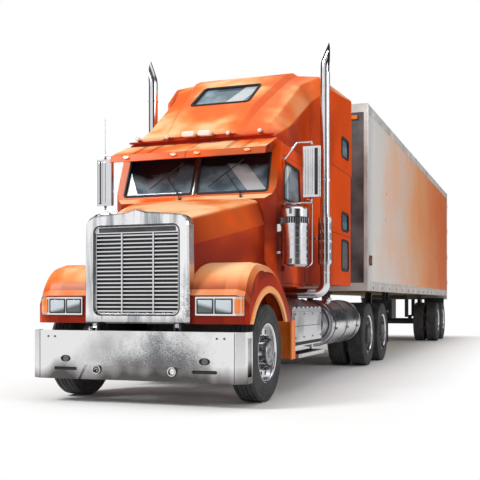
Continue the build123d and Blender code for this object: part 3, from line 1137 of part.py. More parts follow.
# Bogie: slider rails, axles on leaf springs between hangers, and mud flaps
BOGIE_X = 520.0
BOGIE_LOW = COUPLER_Z - 110
TRAILER_REACH = TRAILER_TYRE_X - DUAL_SPACING / 2 + SPINDLE_END - 5
TRAILER_TUBE_END = TRAILER_TYRE_X - DRIVE_TYRE_X + TUBE_END
HANGERS = [TRAILER_AXLES[0] - 600, (TRAILER_AXLES[0] + TRAILER_AXLES[1]) / 2, TRAILER_AXLES[1] + 600]
FLAP_L = TRAILER_AXLES[1] + 700
with BuildPart() as trailer_bogie:
    for side in (-1, 1):
        x = side * BOGIE_X
        block((x - 45, x + 45), (HANGERS[0] - 250, FLAP_L + 60), (BOGIE_LOW, COUPLER_Z + 10))
        for place in HANGERS:
            block((x - 40, x + 40), (place - 70, place + 70), (AXLE_Z + 130, BOGIE_LOW))
        for place in TRAILER_AXLES:
            block((x - 35, x + 35), (place - 600, place + 600), (AXLE_Z + 130, AXLE_Z + 175))
            block((x - 45, x + 45), (place - 60, place + 60), (AXLE_Z + 40, AXLE_Z + 130))
        block(sorted((side * 470, side * 1240)), (FLAP_L - 20, FLAP_L + 20), (BOGIE_LOW, BOGIE_LOW + 40))
        block(sorted((side * 660, side * 1230)), (FLAP_L - 6, FLAP_L + 6), (300, BOGIE_LOW))
    for place in TRAILER_AXLES:
        rod((-TRAILER_TUBE_END, place, AXLE_Z), (TRAILER_TUBE_END, place, AXLE_Z), AXLE_TUBE_R)
        rod((-TRAILER_REACH, place, AXLE_Z), (TRAILER_REACH, place, AXLE_Z), SPINDLE_R)
    block((-BOGIE_X, BOGIE_X), (HANGERS[0] - 200, HANGERS[0] - 120), (BOGIE_LOW + 20, COUPLER_Z - 10))
    block((-BOGIE_X, BOGIE_X), (HANGERS[2] - 60, HANGERS[2] + 20), (BOGIE_LOW + 20, COUPLER_Z - 10))
keep(trailer_bogie, "trailer_bogie")

# Landing gear, wound up, and a box hung under each side ahead of it
GEAR_BAY = 5.5
GEAR_L = CROSS_FIRST + GEAR_BAY * CROSS_PITCH
BOARDS_LOW = FLOOR_TOP - FLOOR_BOARD
GEAR_X = 620.0
SIDE_BOX = ((860.0, 1200.0), (GEAR_L - 670, GEAR_L - 170), (740.0, 1110.0))
with BuildPart() as landing_gear:
    for side in (-1, 1):
        x = side * GEAR_X
        block((x - 55, x + 55), (GEAR_L - 55, GEAR_L + 55), (620, BOARDS_LOW))
        block((x - 40, x + 40), (GEAR_L - 40, GEAR_L + 40), (380, 620))
        block((x - 110, x + 110), (GEAR_L - 100, GEAR_L + 100), (360, 380))
        near, y, z = SIDE_BOX
        block(sorted((side * near[0], side * near[1])), y, z)
        for place in (y[0] + 60, y[1] - 70):
            block(sorted((side * 1000, side * 1060)), (place, place + 50), (z[1], BOARDS_LOW))
    rod((-GEAR_X, GEAR_L, 1000), (GEAR_X, GEAR_L, 1000), 25)
    block((-GEAR_X, GEAR_X), (GEAR_L - 20, GEAR_L + 20), (700, 760))
keep(landing_gear, "landing_gear")

# Trailer lamps and reflectors: discs along the rail, side and top markers, tail lamps on the sill
DISC_COUNT = 15
DISC_FIRST = NOSE + 500.0
DISC_PITCH = (TAIL - 700 - DISC_FIRST) / (DISC_COUNT - 1)
with BuildPart() as trailer_lamps:
    for side in (-1, 1):
        for number in range(DISC_COUNT):
            place = DISC_FIRST + number * DISC_PITCH
            rod((side * BOX_HALF, place, COUPLER_Z + 55), (side * (BOX_HALF + 5), place, COUPLER_Z + 55), 26)
        block(sorted((side * WALL_X[1], side * (BOX_HALF + 6))), (NOSE + 180, NOSE + 330), (1680, 1800))
        block(sorted((side * 980, side * 1130)), (NOSE - 16, NOSE + 12), (TOP_RAIL[0] - 110, TOP_RAIL[0] - 50))
        for x in (820.0, 960.0, 1100.0):
            rod((side * x, TAIL, SILL_LOW + 120), (side * x, TAIL + 12, SILL_LOW + 120), 55)
keep(trailer_lamps, "trailer_lamps")

# Cargo doors: panels in the rear frame, with strap hinges and lock rods
ROD_X = [330.0, 900.0]
ROD_L = TAIL + LOCK_ROD_GAP + LOCK_ROD_R
ROD_KEEPERS = [DOORWAY[0] + 120, DOORWAY[0] + 900, DOORWAY[0] + 1700, DOORWAY[1] - 120]
for name, side in (("left", 1), ("right", -1)):
    with BuildPart() as cargo_door:
        block(sorted((side * CARGO_GAP / 2, side * (DOORWAY_HALF - CARGO_GAP))), (TAIL - CARGO_DOOR, TAIL), DOORWAY)
        for z in CARGO_HINGES:
            pin = side * CARGO_PIN_X
            block(sorted((side * (DOORWAY_HALF - 150), side * (DOORWAY_HALF - CARGO_GAP))), (TAIL, TAIL + 8),
                  (z - KNUCKLE_HALF, z + KNUCKLE_HALF))
            block(sorted((side * (DOORWAY_HALF - CARGO_GAP - 1), pin)), (TAIL + 1, TAIL + 8),
                  (z - KNUCKLE_HALF, z + KNUCKLE_HALF))
            rod((pin, CARGO_PIN_L, z - KNUCKLE_HALF), (pin, CARGO_PIN_L, z + KNUCKLE_HALF), CARGO_KNUCKLE_R)
            rod((pin, CARGO_PIN_L, z - KNUCKLE_HALF - 1), (pin, CARGO_PIN_L, z + KNUCKLE_HALF + 1),
                CARGO_PIN_R + RUN_FIT, Mode.SUBTRACT)
        for x in ROD_X:
            rod((side * x, ROD_L, DOORWAY[0] + 20), (side * x, ROD_L, DOORWAY[1] - 20), LOCK_ROD_R)
            for z in ROD_KEEPERS:
                block((side * x - 30, side * x + 30), (TAIL, ROD_L), (z - 25, z + 25))
    keep(cargo_door, f"cargo_door_{name}")
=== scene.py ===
"""Looks for the long-nosed highway tractor and its box semitrailer: finishes, wheels, trim and the studio."""

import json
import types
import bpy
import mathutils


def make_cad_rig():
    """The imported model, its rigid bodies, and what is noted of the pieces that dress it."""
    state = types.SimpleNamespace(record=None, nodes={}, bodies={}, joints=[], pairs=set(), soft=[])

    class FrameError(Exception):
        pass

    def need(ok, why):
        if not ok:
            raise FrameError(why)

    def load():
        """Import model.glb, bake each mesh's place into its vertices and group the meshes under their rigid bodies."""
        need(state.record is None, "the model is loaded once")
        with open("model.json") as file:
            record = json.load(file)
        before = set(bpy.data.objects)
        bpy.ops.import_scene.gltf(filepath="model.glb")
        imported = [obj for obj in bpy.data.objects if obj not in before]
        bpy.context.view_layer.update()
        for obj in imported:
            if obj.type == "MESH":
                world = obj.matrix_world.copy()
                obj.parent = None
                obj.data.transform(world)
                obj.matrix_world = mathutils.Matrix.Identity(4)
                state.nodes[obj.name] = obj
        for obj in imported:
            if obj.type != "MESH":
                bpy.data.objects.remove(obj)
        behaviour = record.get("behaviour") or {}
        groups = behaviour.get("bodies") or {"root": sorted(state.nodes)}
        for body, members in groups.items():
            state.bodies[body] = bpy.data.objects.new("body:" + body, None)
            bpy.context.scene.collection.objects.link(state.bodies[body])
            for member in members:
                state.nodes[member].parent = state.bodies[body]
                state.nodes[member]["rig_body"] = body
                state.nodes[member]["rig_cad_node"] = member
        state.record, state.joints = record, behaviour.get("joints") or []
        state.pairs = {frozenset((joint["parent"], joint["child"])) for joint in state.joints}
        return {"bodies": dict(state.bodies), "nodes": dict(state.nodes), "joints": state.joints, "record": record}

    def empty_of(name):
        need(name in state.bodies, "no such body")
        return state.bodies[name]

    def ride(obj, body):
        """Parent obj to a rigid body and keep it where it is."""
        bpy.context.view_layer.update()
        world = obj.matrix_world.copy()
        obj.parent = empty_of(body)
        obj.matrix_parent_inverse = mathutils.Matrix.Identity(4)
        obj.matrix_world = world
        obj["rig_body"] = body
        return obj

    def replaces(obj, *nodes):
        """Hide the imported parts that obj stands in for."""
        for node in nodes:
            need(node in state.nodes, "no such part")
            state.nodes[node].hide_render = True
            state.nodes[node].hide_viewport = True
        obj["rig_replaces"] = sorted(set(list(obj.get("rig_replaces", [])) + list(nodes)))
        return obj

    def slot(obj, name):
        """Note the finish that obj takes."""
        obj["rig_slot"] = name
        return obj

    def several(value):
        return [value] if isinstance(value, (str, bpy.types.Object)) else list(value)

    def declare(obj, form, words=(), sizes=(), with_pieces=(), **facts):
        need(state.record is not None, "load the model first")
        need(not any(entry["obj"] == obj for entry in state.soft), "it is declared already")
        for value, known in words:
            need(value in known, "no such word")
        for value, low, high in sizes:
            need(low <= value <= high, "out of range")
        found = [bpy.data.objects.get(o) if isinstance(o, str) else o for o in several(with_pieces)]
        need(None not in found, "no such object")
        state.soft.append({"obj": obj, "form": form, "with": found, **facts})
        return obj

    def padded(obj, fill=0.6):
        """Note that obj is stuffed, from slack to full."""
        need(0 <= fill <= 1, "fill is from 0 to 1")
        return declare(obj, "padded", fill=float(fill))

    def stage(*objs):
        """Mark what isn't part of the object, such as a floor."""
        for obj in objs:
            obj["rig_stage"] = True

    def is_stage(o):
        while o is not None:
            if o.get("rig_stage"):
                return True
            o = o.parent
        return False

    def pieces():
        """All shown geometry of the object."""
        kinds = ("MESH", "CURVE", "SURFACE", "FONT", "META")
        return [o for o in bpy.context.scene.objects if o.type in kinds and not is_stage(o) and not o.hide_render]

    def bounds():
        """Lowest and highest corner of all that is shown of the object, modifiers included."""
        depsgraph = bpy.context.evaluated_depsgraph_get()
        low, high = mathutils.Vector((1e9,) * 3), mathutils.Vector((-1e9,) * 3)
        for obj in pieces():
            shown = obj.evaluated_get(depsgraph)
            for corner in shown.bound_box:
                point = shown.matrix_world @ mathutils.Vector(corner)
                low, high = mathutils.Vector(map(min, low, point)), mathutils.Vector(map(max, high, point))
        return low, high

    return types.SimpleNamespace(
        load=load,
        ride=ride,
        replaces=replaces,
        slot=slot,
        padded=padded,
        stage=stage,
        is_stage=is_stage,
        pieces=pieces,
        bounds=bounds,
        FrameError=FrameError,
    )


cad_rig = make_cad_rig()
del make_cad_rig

bl_info = {
    "name": "Highway Tractor Dresser",
    "version": (1, 0, 0),
    "blender": (4, 5, 0),
    "location": "View3D > Sidebar > Truck",
    "description": "Dresses the packed tractor and semitrailer with finishes and trim",
    "category": "Add Mesh",
}

import json
import math
import sys

import bpy
from bpy.props import FloatProperty, FloatVectorProperty, IntProperty, PointerProperty
from mathutils import Matrix, Vector

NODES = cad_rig.load()["nodes"]
CAD_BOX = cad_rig.bounds()
BUMPER_FACE = -8.955
SIDES = ((1, "left"), (-1, "right"))


def along(length):
    """Y of a place given by its distance behind the bumper face."""
    return BUMPER_FACE + length


class PaintSettings(bpy.types.PropertyGroup):
    """Colours of the body and the trailer, with the painted highlight and painted shade of the body paint."""

    body: FloatVectorProperty(name="Body", description="Main body colour", subtype="COLOR", size=3, min=0, max=1,
                              default=(0.82, 0.085, 0.004))
    # light is the colour of a painted highlight on the upper surfaces, deep the colour of painted dark red shade on the
    # sides and low places
    light: FloatVectorProperty(name="Painted highlight", description="Painted highlight on the upper surfaces", subtype="COLOR",
                               size=3, min=0, max=1, default=(0.94, 0.32, 0.075))
    deep: FloatVectorProperty(name="Painted shade", description="Painted dark red shade on the sides and low places", subtype="COLOR",
                              size=3, min=0, max=1, default=(0.17, 0.009, 0.003))
    panel: FloatVectorProperty(name="Trailer wall", description="Ground colour of the trailer", subtype="COLOR",
                               size=3, min=0, max=1, default=(0.78, 0.76, 0.74))
    chrome: FloatVectorProperty(name="Chrome", description="Bright metal colour", subtype="COLOR", size=3,
                                min=0, max=1, default=(0.72, 0.72, 0.73))


class WheelSettings(bpy.types.PropertyGroup):
    """Sizes of the tyre tread and the wheel nuts."""

    groove: FloatProperty(name="Groove depth", description="Depth of the tread grooves", subtype="DISTANCE",
                          unit="LENGTH", default=0.012, min=0.002, max=0.02)
    blocks: IntProperty(name="Shoulder blocks", description="Tread blocks round the shoulder", default=48, min=24,
                        max=72)
    nuts: IntProperty(name="Nuts", description="Wheel nuts on each wheel", default=10, min=6, max=12)


class StudioSettings(bpy.types.PropertyGroup):
    """Floor, lamps and camera."""

    backdrop: FloatVectorProperty(name="Backdrop", description="Colour seen behind the truck", subtype="COLOR",
                                  size=3, min=0, max=1, default=(1.0, 1.0, 1.0))
    key: FloatProperty(name="Key lamp", description="Strength of the main lamp", default=2.2, min=0, max=10)
    world: FloatProperty(name="Sky", description="Strength of the soft surrounding light", default=0.55, min=0,
                         max=3)
    lens: FloatProperty(name="Lens", description="Focal length of the camera", subtype="DISTANCE_CAMERA",
                        default=62.4, min=20, max=200)


def settings():
    """The three groups of settings, on the scene."""
    scene = bpy.context.scene
    return scene.truck_paint, scene.truck_wheels, scene.truck_studio


# Modelling helpers

def rest():
    """Back to object mode with nothing selected."""
    if bpy.context.mode != "OBJECT":
        bpy.ops.object.mode_set(mode="OBJECT")
    bpy.ops.object.select_all(action="DESELECT")


def only(piece):
    """Makes one piece the selected and active one."""
    rest()
    piece.select_set(True)
    bpy.context.view_layer.objects.active = piece


def settle(piece, name=None):
    """Puts a piece's place into its mesh, and names it if a name is given."""
    only(piece)
    bpy.ops.object.transform_apply(location=True, rotation=True, scale=True)
    if name:
        piece.name = name
        piece.data.name = name
    return piece


def modify(piece, kind, **values):
    """Adds a modifier with its values and applies it."""
    only(piece)
    change = piece.modifiers.new(kind.title(), kind)
    for key, value in values.items():
        setattr(change, key, value)
    bpy.ops.object.modifier_apply(modifier=change.name)
    return piece


def slab(name, across, lengths, heights, edge=0.004, steps=2):
    """A plate or bar with rounded edges, from its ranges on X, behind the bumper face and on Z."""
    low, high = ((x, along(length), z) for x, length, z in zip(across, lengths, heights))
    return block(name, low, high, edge, steps)


def about(middle, half):
    """The range that reaches half to both sides of a middle."""
    return middle - half, middle + half


def block(name, low, high, edge=0.004, steps=2):
    """A plate or bar from corner to corner with rounded edges."""
    rest()
    low, high = Vector(low), Vector(high)
    bpy.ops.mesh.primitive_cube_add(size=1, location=(low + high) / 2)
    piece = bpy.context.object
    piece.scale = [max(abs(v), 1e-4) for v in high - low]
    settle(piece, name)
    if edge:
        modify(piece, "BEVEL", width=min(edge, min(abs(v) for v in high - low) * 0.45), segments=steps)
    return piece


def drum(name, start, end, radius, sides=32, edge=0.003, steps=2):
    """A round bar between two points with rounded rims."""
    rest()
    start, end = Vector(start), Vector(end)
    bpy.ops.mesh.primitive_cylinder_add(vertices=sides, radius=radius, depth=(end - start).length,
                                        location=(start + end) / 2,
                                        rotation=(end - start).to_track_quat("Z", "Y").to_euler())
    piece = settle(bpy.context.object, name)
    if edge:
        modify(piece, "BEVEL", width=edge, segments=steps, angle_limit=math.radians(50))
    return smooth(piece)


def raw(name, points, edges, faces):
    """The active piece made of bare points, edges and faces."""
    rest()
    mesh = bpy.data.meshes.new(name)
    mesh.from_pydata([tuple(p) for p in points], edges, faces)
    piece = bpy.data.objects.new(name, mesh)
    bpy.context.collection.objects.link(piece)
    only(piece)
    return piece


def thicken(piece, shift):
    """Extrudes all faces of a piece by shift and turns them outwards."""
    bpy.ops.object.mode_set(mode="EDIT")
    bpy.ops.mesh.select_all(action="SELECT")
    bpy.ops.mesh.extrude_region_move(TRANSFORM_OT_translate={"value": tuple(shift)})
    bpy.ops.mesh.select_all(action="SELECT")
    bpy.ops.mesh.normals_make_consistent(inside=False)
    bpy.ops.object.mode_set(mode="OBJECT")


def smooth(piece, angle=35):
    """Smooth shading that keeps edges sharper than the angle."""
    only(piece)
    bpy.ops.object.shade_smooth_by_angle(angle=math.radians(angle))
    return piece


def lathe(name, profile, centre, axis="X", steps=48, closed=False):
    """Spins a profile of (radius, place) points round an axis through centre."""
    last = len(profile) - 1
    edges = [(i, i + 1) for i in range(last)] + ([(last, 0)] if closed else [])
    piece = raw(name, [(0, r, w) for r, w in profile], edges, [])
    bpy.ops.object.mode_set(mode="EDIT")
    bpy.ops.mesh.select_all(action="SELECT")
    bpy.ops.mesh.spin(steps=steps, angle=2 * math.pi, center=(0, 0, 0), axis=(0, 0, 1))
    bpy.ops.mesh.select_all(action="SELECT")
    bpy.ops.mesh.remove_doubles(threshold=1e-5)
    bpy.ops.mesh.normals_make_consistent(inside=False)
    bpy.ops.object.mode_set(mode="OBJECT")
    turn = {"X": Matrix.Rotation(math.pi / 2, 4, "Y"), "Y": Matrix.Rotation(-math.pi / 2, 4, "X"),
            "Z": Matrix.Identity(4)}[axis]
    piece.matrix_world = Matrix.Translation(centre) @ turn
    settle(piece, name)
    return smooth(piece)


def tube(name, points, radius, sides=10, corner=0.0):
    """A bent bar through points, with rounded corners."""
    rest()
    line = bpy.data.curves.new(name, "CURVE")
    line.dimensions = "3D"
    spline = line.splines.new("POLY")
    path = []
    for i, p in enumerate(points):
        p = Vector(p)
        if corner and 0 < i < len(points) - 1:
            a, b = Vector(points[i - 1]), Vector(points[i + 1])
            start = p + (a - p).normalized() * corner
            stop = p + (b - p).normalized() * corner
            path += [start.lerp(p, t).lerp(p.lerp(stop, t), t) for t in (0, 0.25, 0.5, 0.75, 1)]
        else:
            path.append(p)
    spline.points.add(len(path) - 1)
    for point, place in zip(spline.points, path):
        point.co = (*place, 1)
    line.bevel_depth = radius
    line.bevel_resolution = max(1, sides // 4)
    line.use_fill_caps = True
    piece = bpy.data.objects.new(name, line)
    bpy.context.collection.objects.link(piece)
    only(piece)
    bpy.ops.object.convert(target="MESH")
    return smooth(settle(bpy.context.object, name))


def sheet(name, corners, depth, edge=0.003, steps=2):
    """A flat polygon given by its corners, thickened against its normal and with rounded edges."""
    piece = raw(name, corners, [], [range(len(corners))])
    thicken(piece, -piece.data.polygons[0].normal * depth)
    if edge:
        modify(piece, "BEVEL", width=edge, segments=steps, limit_method="ANGLE", angle_limit=math.radians(40))
    return smooth(piece)


def rounded(width, height, radius, steps=5):
    """Corner points of a rounded rectangle about the origin, anticlockwise."""
    points = []
    for cx, cy, start in ((1, 1, 0), (-1, 1, 90), (-1, -1, 180), (1, -1, 270)):
        for step in range(steps + 1):
            angle = math.radians(start + 90 * step / steps)
            points.append((cx * (width / 2 - radius) + radius * math.cos(angle),
                           cy * (height / 2 - radius) + radius * math.sin(angle)))
    return points


def rim_strip(name, loop, width, depth, outward):
    """A flat frame that follows a closed loop of points, width to the inside, raised along outward."""
    centre = sum((Vector(p) for p in loop), Vector()) / len(loop)
    outward = Vector(outward).normalized()
    inner = []
    for i, p in enumerate(loop):
        p, before, after = Vector(p), Vector(loop[i - 1]), Vector(loop[(i + 1) % len(loop)])
        normal = (after - before).cross(outward).normalized()
        if normal.dot(centre - p) < 0:
            normal = -normal
        inner.append(p + normal * width)
    count = len(loop)
    piece = raw(name, [*loop, *inner], [], [(i, (i + 1) % count, count + (i + 1) % count, count + i)
                                            for i in range(count)])
    thicken(piece, outward * depth)
    modify(piece, "BEVEL", width=min(width, depth) * 0.25, segments=2, limit_method="ANGLE",
           angle_limit=math.radians(50))
    return smooth(piece)


def twin(piece, shift=(0, 0, 0)):
    """A copy of a piece with its own mesh, moved by shift."""
    only(piece)
    bpy.ops.object.duplicate(linked=False)
    copy = bpy.context.object
    copy.location = shift
    return settle(copy)


def row(piece, count, step):
    """Repeats a piece along a line, in one mesh."""
    return modify(piece, "ARRAY", count=count, use_relative_offset=False, use_constant_offset=True,
                  constant_offset_displace=step)


def ring_copies(piece, count, centre, axis="X"):
    """Repeats a piece round an axis through centre, in one mesh."""
    copies = [piece]
    for number in range(1, count):
        copy = twin(piece)
        turn = Matrix.Rotation(2 * math.pi * number / count, 4, axis)
        copy.matrix_world = Matrix.Translation(centre) @ turn @ Matrix.Translation(-Vector(centre))
        copies.append(settle(copy))
    return joined(copies, piece.name)


def joined(pieces, name):
    """Joins pieces into one mesh under a name."""
    rest()
    for piece in pieces:
        piece.select_set(True)
    bpy.context.view_layer.objects.active = pieces[0]
    if len(pieces) > 1:
        bpy.ops.object.join()
    piece = bpy.context.object
    piece.name = name
    piece.data.name = name
    return piece


def finish(name, body, finish_name, slot, *pieces):
    """Joins pieces under one name, with their finish, the body they ride on and their material slot."""
    piece = joined(list(pieces), name)
    piece.data.materials.clear()
    piece.data.materials.append(bpy.data.materials[finish_name])
    for face in piece.data.polygons:
        face.material_index = 0
    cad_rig.ride(piece, body)
    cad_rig.slot(piece, slot)
    return piece


# Finishes: a small node writer, the shared effects and one material for each finish

class Graph:
    """Writes nodes and links into a material or a node group."""

    def __init__(self, tree):
        self.tree = tree

    def node(self, kind, **values):
        made = self.tree.nodes.new("ShaderNode" + kind)
        for key, value in values.items():
            setattr(made, key, value)
        return made

    def link(self, source, target):
        self.tree.links.new(source, target)

    def feed(self, socket, value):
        """Links an output or sets a plain value; a colour is given without its alpha."""
        if isinstance(value, bpy.types.NodeSocket):
            self.link(value, socket)
        elif socket.type == "RGBA":
            socket.default_value = (*value[:3], 1.0)
        else:
            socket.default_value = value

    def fill(self, sockets, values):
        """Feeds several sockets by their titles."""
        for title, value in values.items():
            self.feed(sockets[title], value)

    def math(self, kind, a, b=0.0, clamp=False):
        made = self.node("Math", operation=kind, use_clamp=clamp)
        self.feed(made.inputs[0], a)
        self.feed(made.inputs[1], b)
        return made.outputs[0]

    def times(self, a, b, clamp=False):
        return self.math("MULTIPLY", a, b, clamp)

    def plus(self, a, b, clamp=False):
        return self.math("ADD", a, b, clamp)

    def minus(self, a, b, clamp=False):
        return self.math("SUBTRACT", a, b, clamp)

    def absolute(self, value):
        return self.math("ABSOLUTE", value)

    def squared(self, value):
        return self.math("POWER", value, 2.0)

    def above(self, value, limit):
        return self.math("GREATER_THAN", value, limit)

    def below(self, value, limit):
        return self.math("LESS_THAN", value, limit)

    def larger(self, a, b):
        return self.math("MAXIMUM", a, b)

    def off(self, value, middle):
        """How far a value is from a middle."""
        return self.absolute(self.minus(value, middle))

    def remap(self, value, low, high, to_low=0.0, to_high=1.0):
        made = self.node("MapRange")
        for socket, number in zip(made.inputs, (value, low, high, to_low, to_high)):
            self.feed(socket, number)
        return made.outputs[0]

    def mix(self, factor, a, b):
        made = self.node("Mix", data_type="RGBA", blend_type="MIX")
        self.fill(made.inputs, {"Factor": factor, "A": a, "B": b})
        return made.outputs["Result"]

    def noise(self, vector, scale, detail=3.0, rough=0.55, seed=None):
        made = self.node("TexNoise")
        self.fill(made.inputs, {"Vector": vector, "Scale": scale, "Detail": detail, "Roughness": rough})
        if seed is not None:
            made.noise_dimensions = "4D"
            self.feed(made.inputs["W"], seed)
        return made.outputs["Fac"]

    def place(self):
        return self.node("TexCoord").outputs["Object"]

    def split(self, vector):
        made = self.node("SeparateXYZ")
        self.link(vector, made.inputs[0])
        return made.outputs

    def scaled(self, vector, scale):
        made = self.node("Mapping")
        self.fill(made.inputs, {"Vector": vector, "Scale": scale})
        return made.outputs[0]

    def blend(self, factor, first, second, end):
        """Mixes two shaders by a factor into an end socket."""
        made = self.node("MixShader")
        for socket, source in zip(made.inputs, (factor, first, second)):
            self.link(source, socket)
        self.link(made.outputs[0], end)


def scaled_colour(value, factor):
    """A colour made darker or lighter, at most white."""
    return [min(1, v * factor) for v in value]


def new_effect(name, inputs, outputs):
    """An empty node group with named float inputs and outputs."""
    tree = bpy.data.node_groups.new(name, "ShaderNodeTree")
    for title, default in inputs.items():
        tree.interface.new_socket(title, in_out="INPUT", socket_type="NodeSocketFloat").default_value = default
    for title in outputs:
        tree.interface.new_socket(title, in_out="OUTPUT", socket_type="NodeSocketFloat")
    return Graph(tree), tree.nodes.new("NodeGroupInput").outputs, tree.nodes.new("NodeGroupOutput").inputs


def make_effects():
    """Grime: soft patches and fine spatter. Wash: hand-sprayed clouds of tone."""
    graph, given, out = new_effect("Grime", {"Patch Scale": 1.5, "Spatter Scale": 60.0, "Amount": 0.5},
                                   ("Patches", "Spatter"))
    place = graph.place()
    patches = graph.remap(graph.noise(place, given["Patch Scale"], 5, 0.5), 0.52, 0.72)
    spatter = graph.remap(graph.noise(place, given["Spatter Scale"], 1, 0.5), 0.66, 0.72)
    spatter = graph.times(spatter, graph.plus(graph.times(patches, 0.9), 0.12))
    graph.fill(out, {"Patches": graph.times(patches, given["Amount"], True),
                     "Spatter": graph.times(spatter, given["Amount"], True)})

    graph, given, out = new_effect("Wash", {"Scale": 0.8, "Grain": 260.0, "Seed": 0.0}, ("Tone",))
    place = graph.place()
    cloud = graph.noise(place, given["Scale"], 3, 0.5, given["Seed"])
    speck = graph.times(graph.minus(graph.noise(place, given["Grain"], 2, 0.5), 0.5), 0.28)
    graph.fill(out, {"Tone": graph.plus(cloud, speck)})


def effect(graph, name, **values):
    """A shared effect's outputs, with some of its inputs set."""
    made = graph.node("Group")
    made.node_tree = bpy.data.node_groups[name]
    graph.fill(made.inputs, {key.replace("_", " ").title(): value for key, value in values.items()})
    return made.outputs


def start(name):
    """A new material, its node writer and its main shader."""
    material = bpy.data.materials.new(name)
    material.use_nodes = True
    return Graph(material.node_tree), material.node_tree.nodes["Principled BSDF"].inputs


def bump(graph, shader, height, strength=0.3, distance=0.002):
    """Raises the surface by a height."""
    made = graph.node("Bump")
    graph.fill(made.inputs, {"Strength": strength, "Distance": distance, "Height": height})
    graph.link(made.outputs["Normal"], shader["Normal"])


def paint_finish(name, body, light, deep, heights, places=(0.0, 1.0), seed=0.0, special=None):
    """Sprayed body paint with painted light: a pale painted highlight in streaks where it faces up and painted shade in
    dark red clouds on the sides.

    The painted shade thickens downwards between two heights, and forwards between two places on Y.
    """
    graph, shader = start(name)
    place = graph.place()
    x, y, z = graph.split(place)
    up = graph.split(graph.node("NewGeometry").outputs["Normal"])[2]
    tone = effect(graph, "Wash", scale=1.1, grain=300.0, seed=seed)["Tone"]
    # Painted highlight: the colour turns paler, in streaks, on faces that look up
    streak = graph.remap(tone, 0.43, 0.53)
    lift = graph.times(graph.remap(up, 0.1, 0.8), graph.plus(graph.times(streak, 0.75), 0.2), True)
    lit = graph.mix(lift, body, light)
    # A second, paler painted highlight on the faces that look most up
    cream = graph.times(graph.remap(up, 0.3, 0.85), graph.remap(tone, 0.49, 0.58))
    lit = graph.mix(graph.times(cream, 0.8), lit, (1.0, 0.66, 0.38))
    # Painted shade: dark red clouds on faces that look sideways, thicker low down and towards the front
    shade = graph.times(graph.remap(z, *heights, 1.0, 0.45), graph.remap(y, *places, 1.25, 0.12))
    dark = graph.times(graph.times(shade, graph.remap(up, 0.7, 0.1)), graph.remap(tone, 0.41, 0.55), True)
    tint = graph.mix(graph.times(dark, 0.92), lit, deep)
    if special:
        tint = special(graph, x, y, z, up, tint, deep)
    grime = effect(graph, "Grime", patch_scale=1.2, spatter_scale=45.0, amount=0.25)
    graph.fill(shader, {"Base Color": tint, "Roughness": graph.plus(graph.times(grime["Patches"], 0.4), 0.36),
                        "Coat Weight": 0.07, "Coat Roughness": 0.1, "Specular IOR Level": 0.08})


def hood_bands(graph, x, y, z, up, tint, deep):
    """Painted shade towards the front and back of the hood's sides, a painted pale highlight on the lip round the wheel
    arch and a ring of painted dark red shade outside it.
    """
    across = graph.absolute(x)
    side = graph.remap(up, 0.6, 0.2)
    # Painted shade on the hood's sides near the grille and near the cowl
    ends = graph.larger(graph.remap(y, -8.72, -8.35, 1.0, 0.0), graph.remap(y, -7.75, -7.5))
    shade = graph.times(graph.times(ends, side), graph.below(across, 0.95))
    tint = graph.mix(graph.times(shade, 0.8), tint, deep)
    # A ring of painted dark red shade round the wheel arch, and a painted pale highlight on the arch's lip
    from_axle = graph.plus(graph.squared(graph.minus(y, along(FRONT_AT))), graph.squared(graph.minus(z, AXLE_HEIGHT)))
    reach = graph.math("SQRT", from_axle)
    outer = graph.above(across, 1.17)
    ring = graph.times(outer, graph.remap(reach, 0.80, 0.84, 1.0, 0.0))
    tint = graph.mix(graph.times(ring, 0.75), tint, (0.42, 0.022, 0.004))
    lip = graph.times(outer, graph.remap(reach, 0.708, 0.716, 1.0, 0.0))
    return graph.mix(graph.times(lip, 0.95), tint, (0.98, 0.44, 0.17))


def roof_bands(graph, x, y, z, up, tint, deep):
    """Painted dark red shade in the hollow where the fairing meets the visor."""
    # Painted shade fading upwards from the top of the visor, in front of the sleeper
    low = graph.times(graph.remap(z, 3.06, 3.16, 1.0, 0.0), graph.above(z, 3.013))
    hollow = graph.times(low, graph.below(y, -6.3))
    return graph.mix(graph.times(hollow, 0.7), tint, (0.38, 0.02, 0.004))


def metal_finish(name, base, dirt, rough, amount, patch=1.6, spatter=70.0):
    """Bright metal with dark spatter and worn patches."""
    graph, shader = start(name)
    grime = effect(graph, "Grime", patch_scale=patch, spatter_scale=spatter, amount=amount)
    worn = graph.mix(grime["Patches"], base, scaled_colour(base, 0.4))
    soft = graph.plus(graph.times(grime["Patches"], 0.35), rough)
    graph.fill(shader, {"Base Color": graph.mix(grime["Spatter"], worn, dirt), "Metallic": 1.0,
                        "Roughness": graph.plus(soft, graph.times(grime["Spatter"], 0.3), True)})


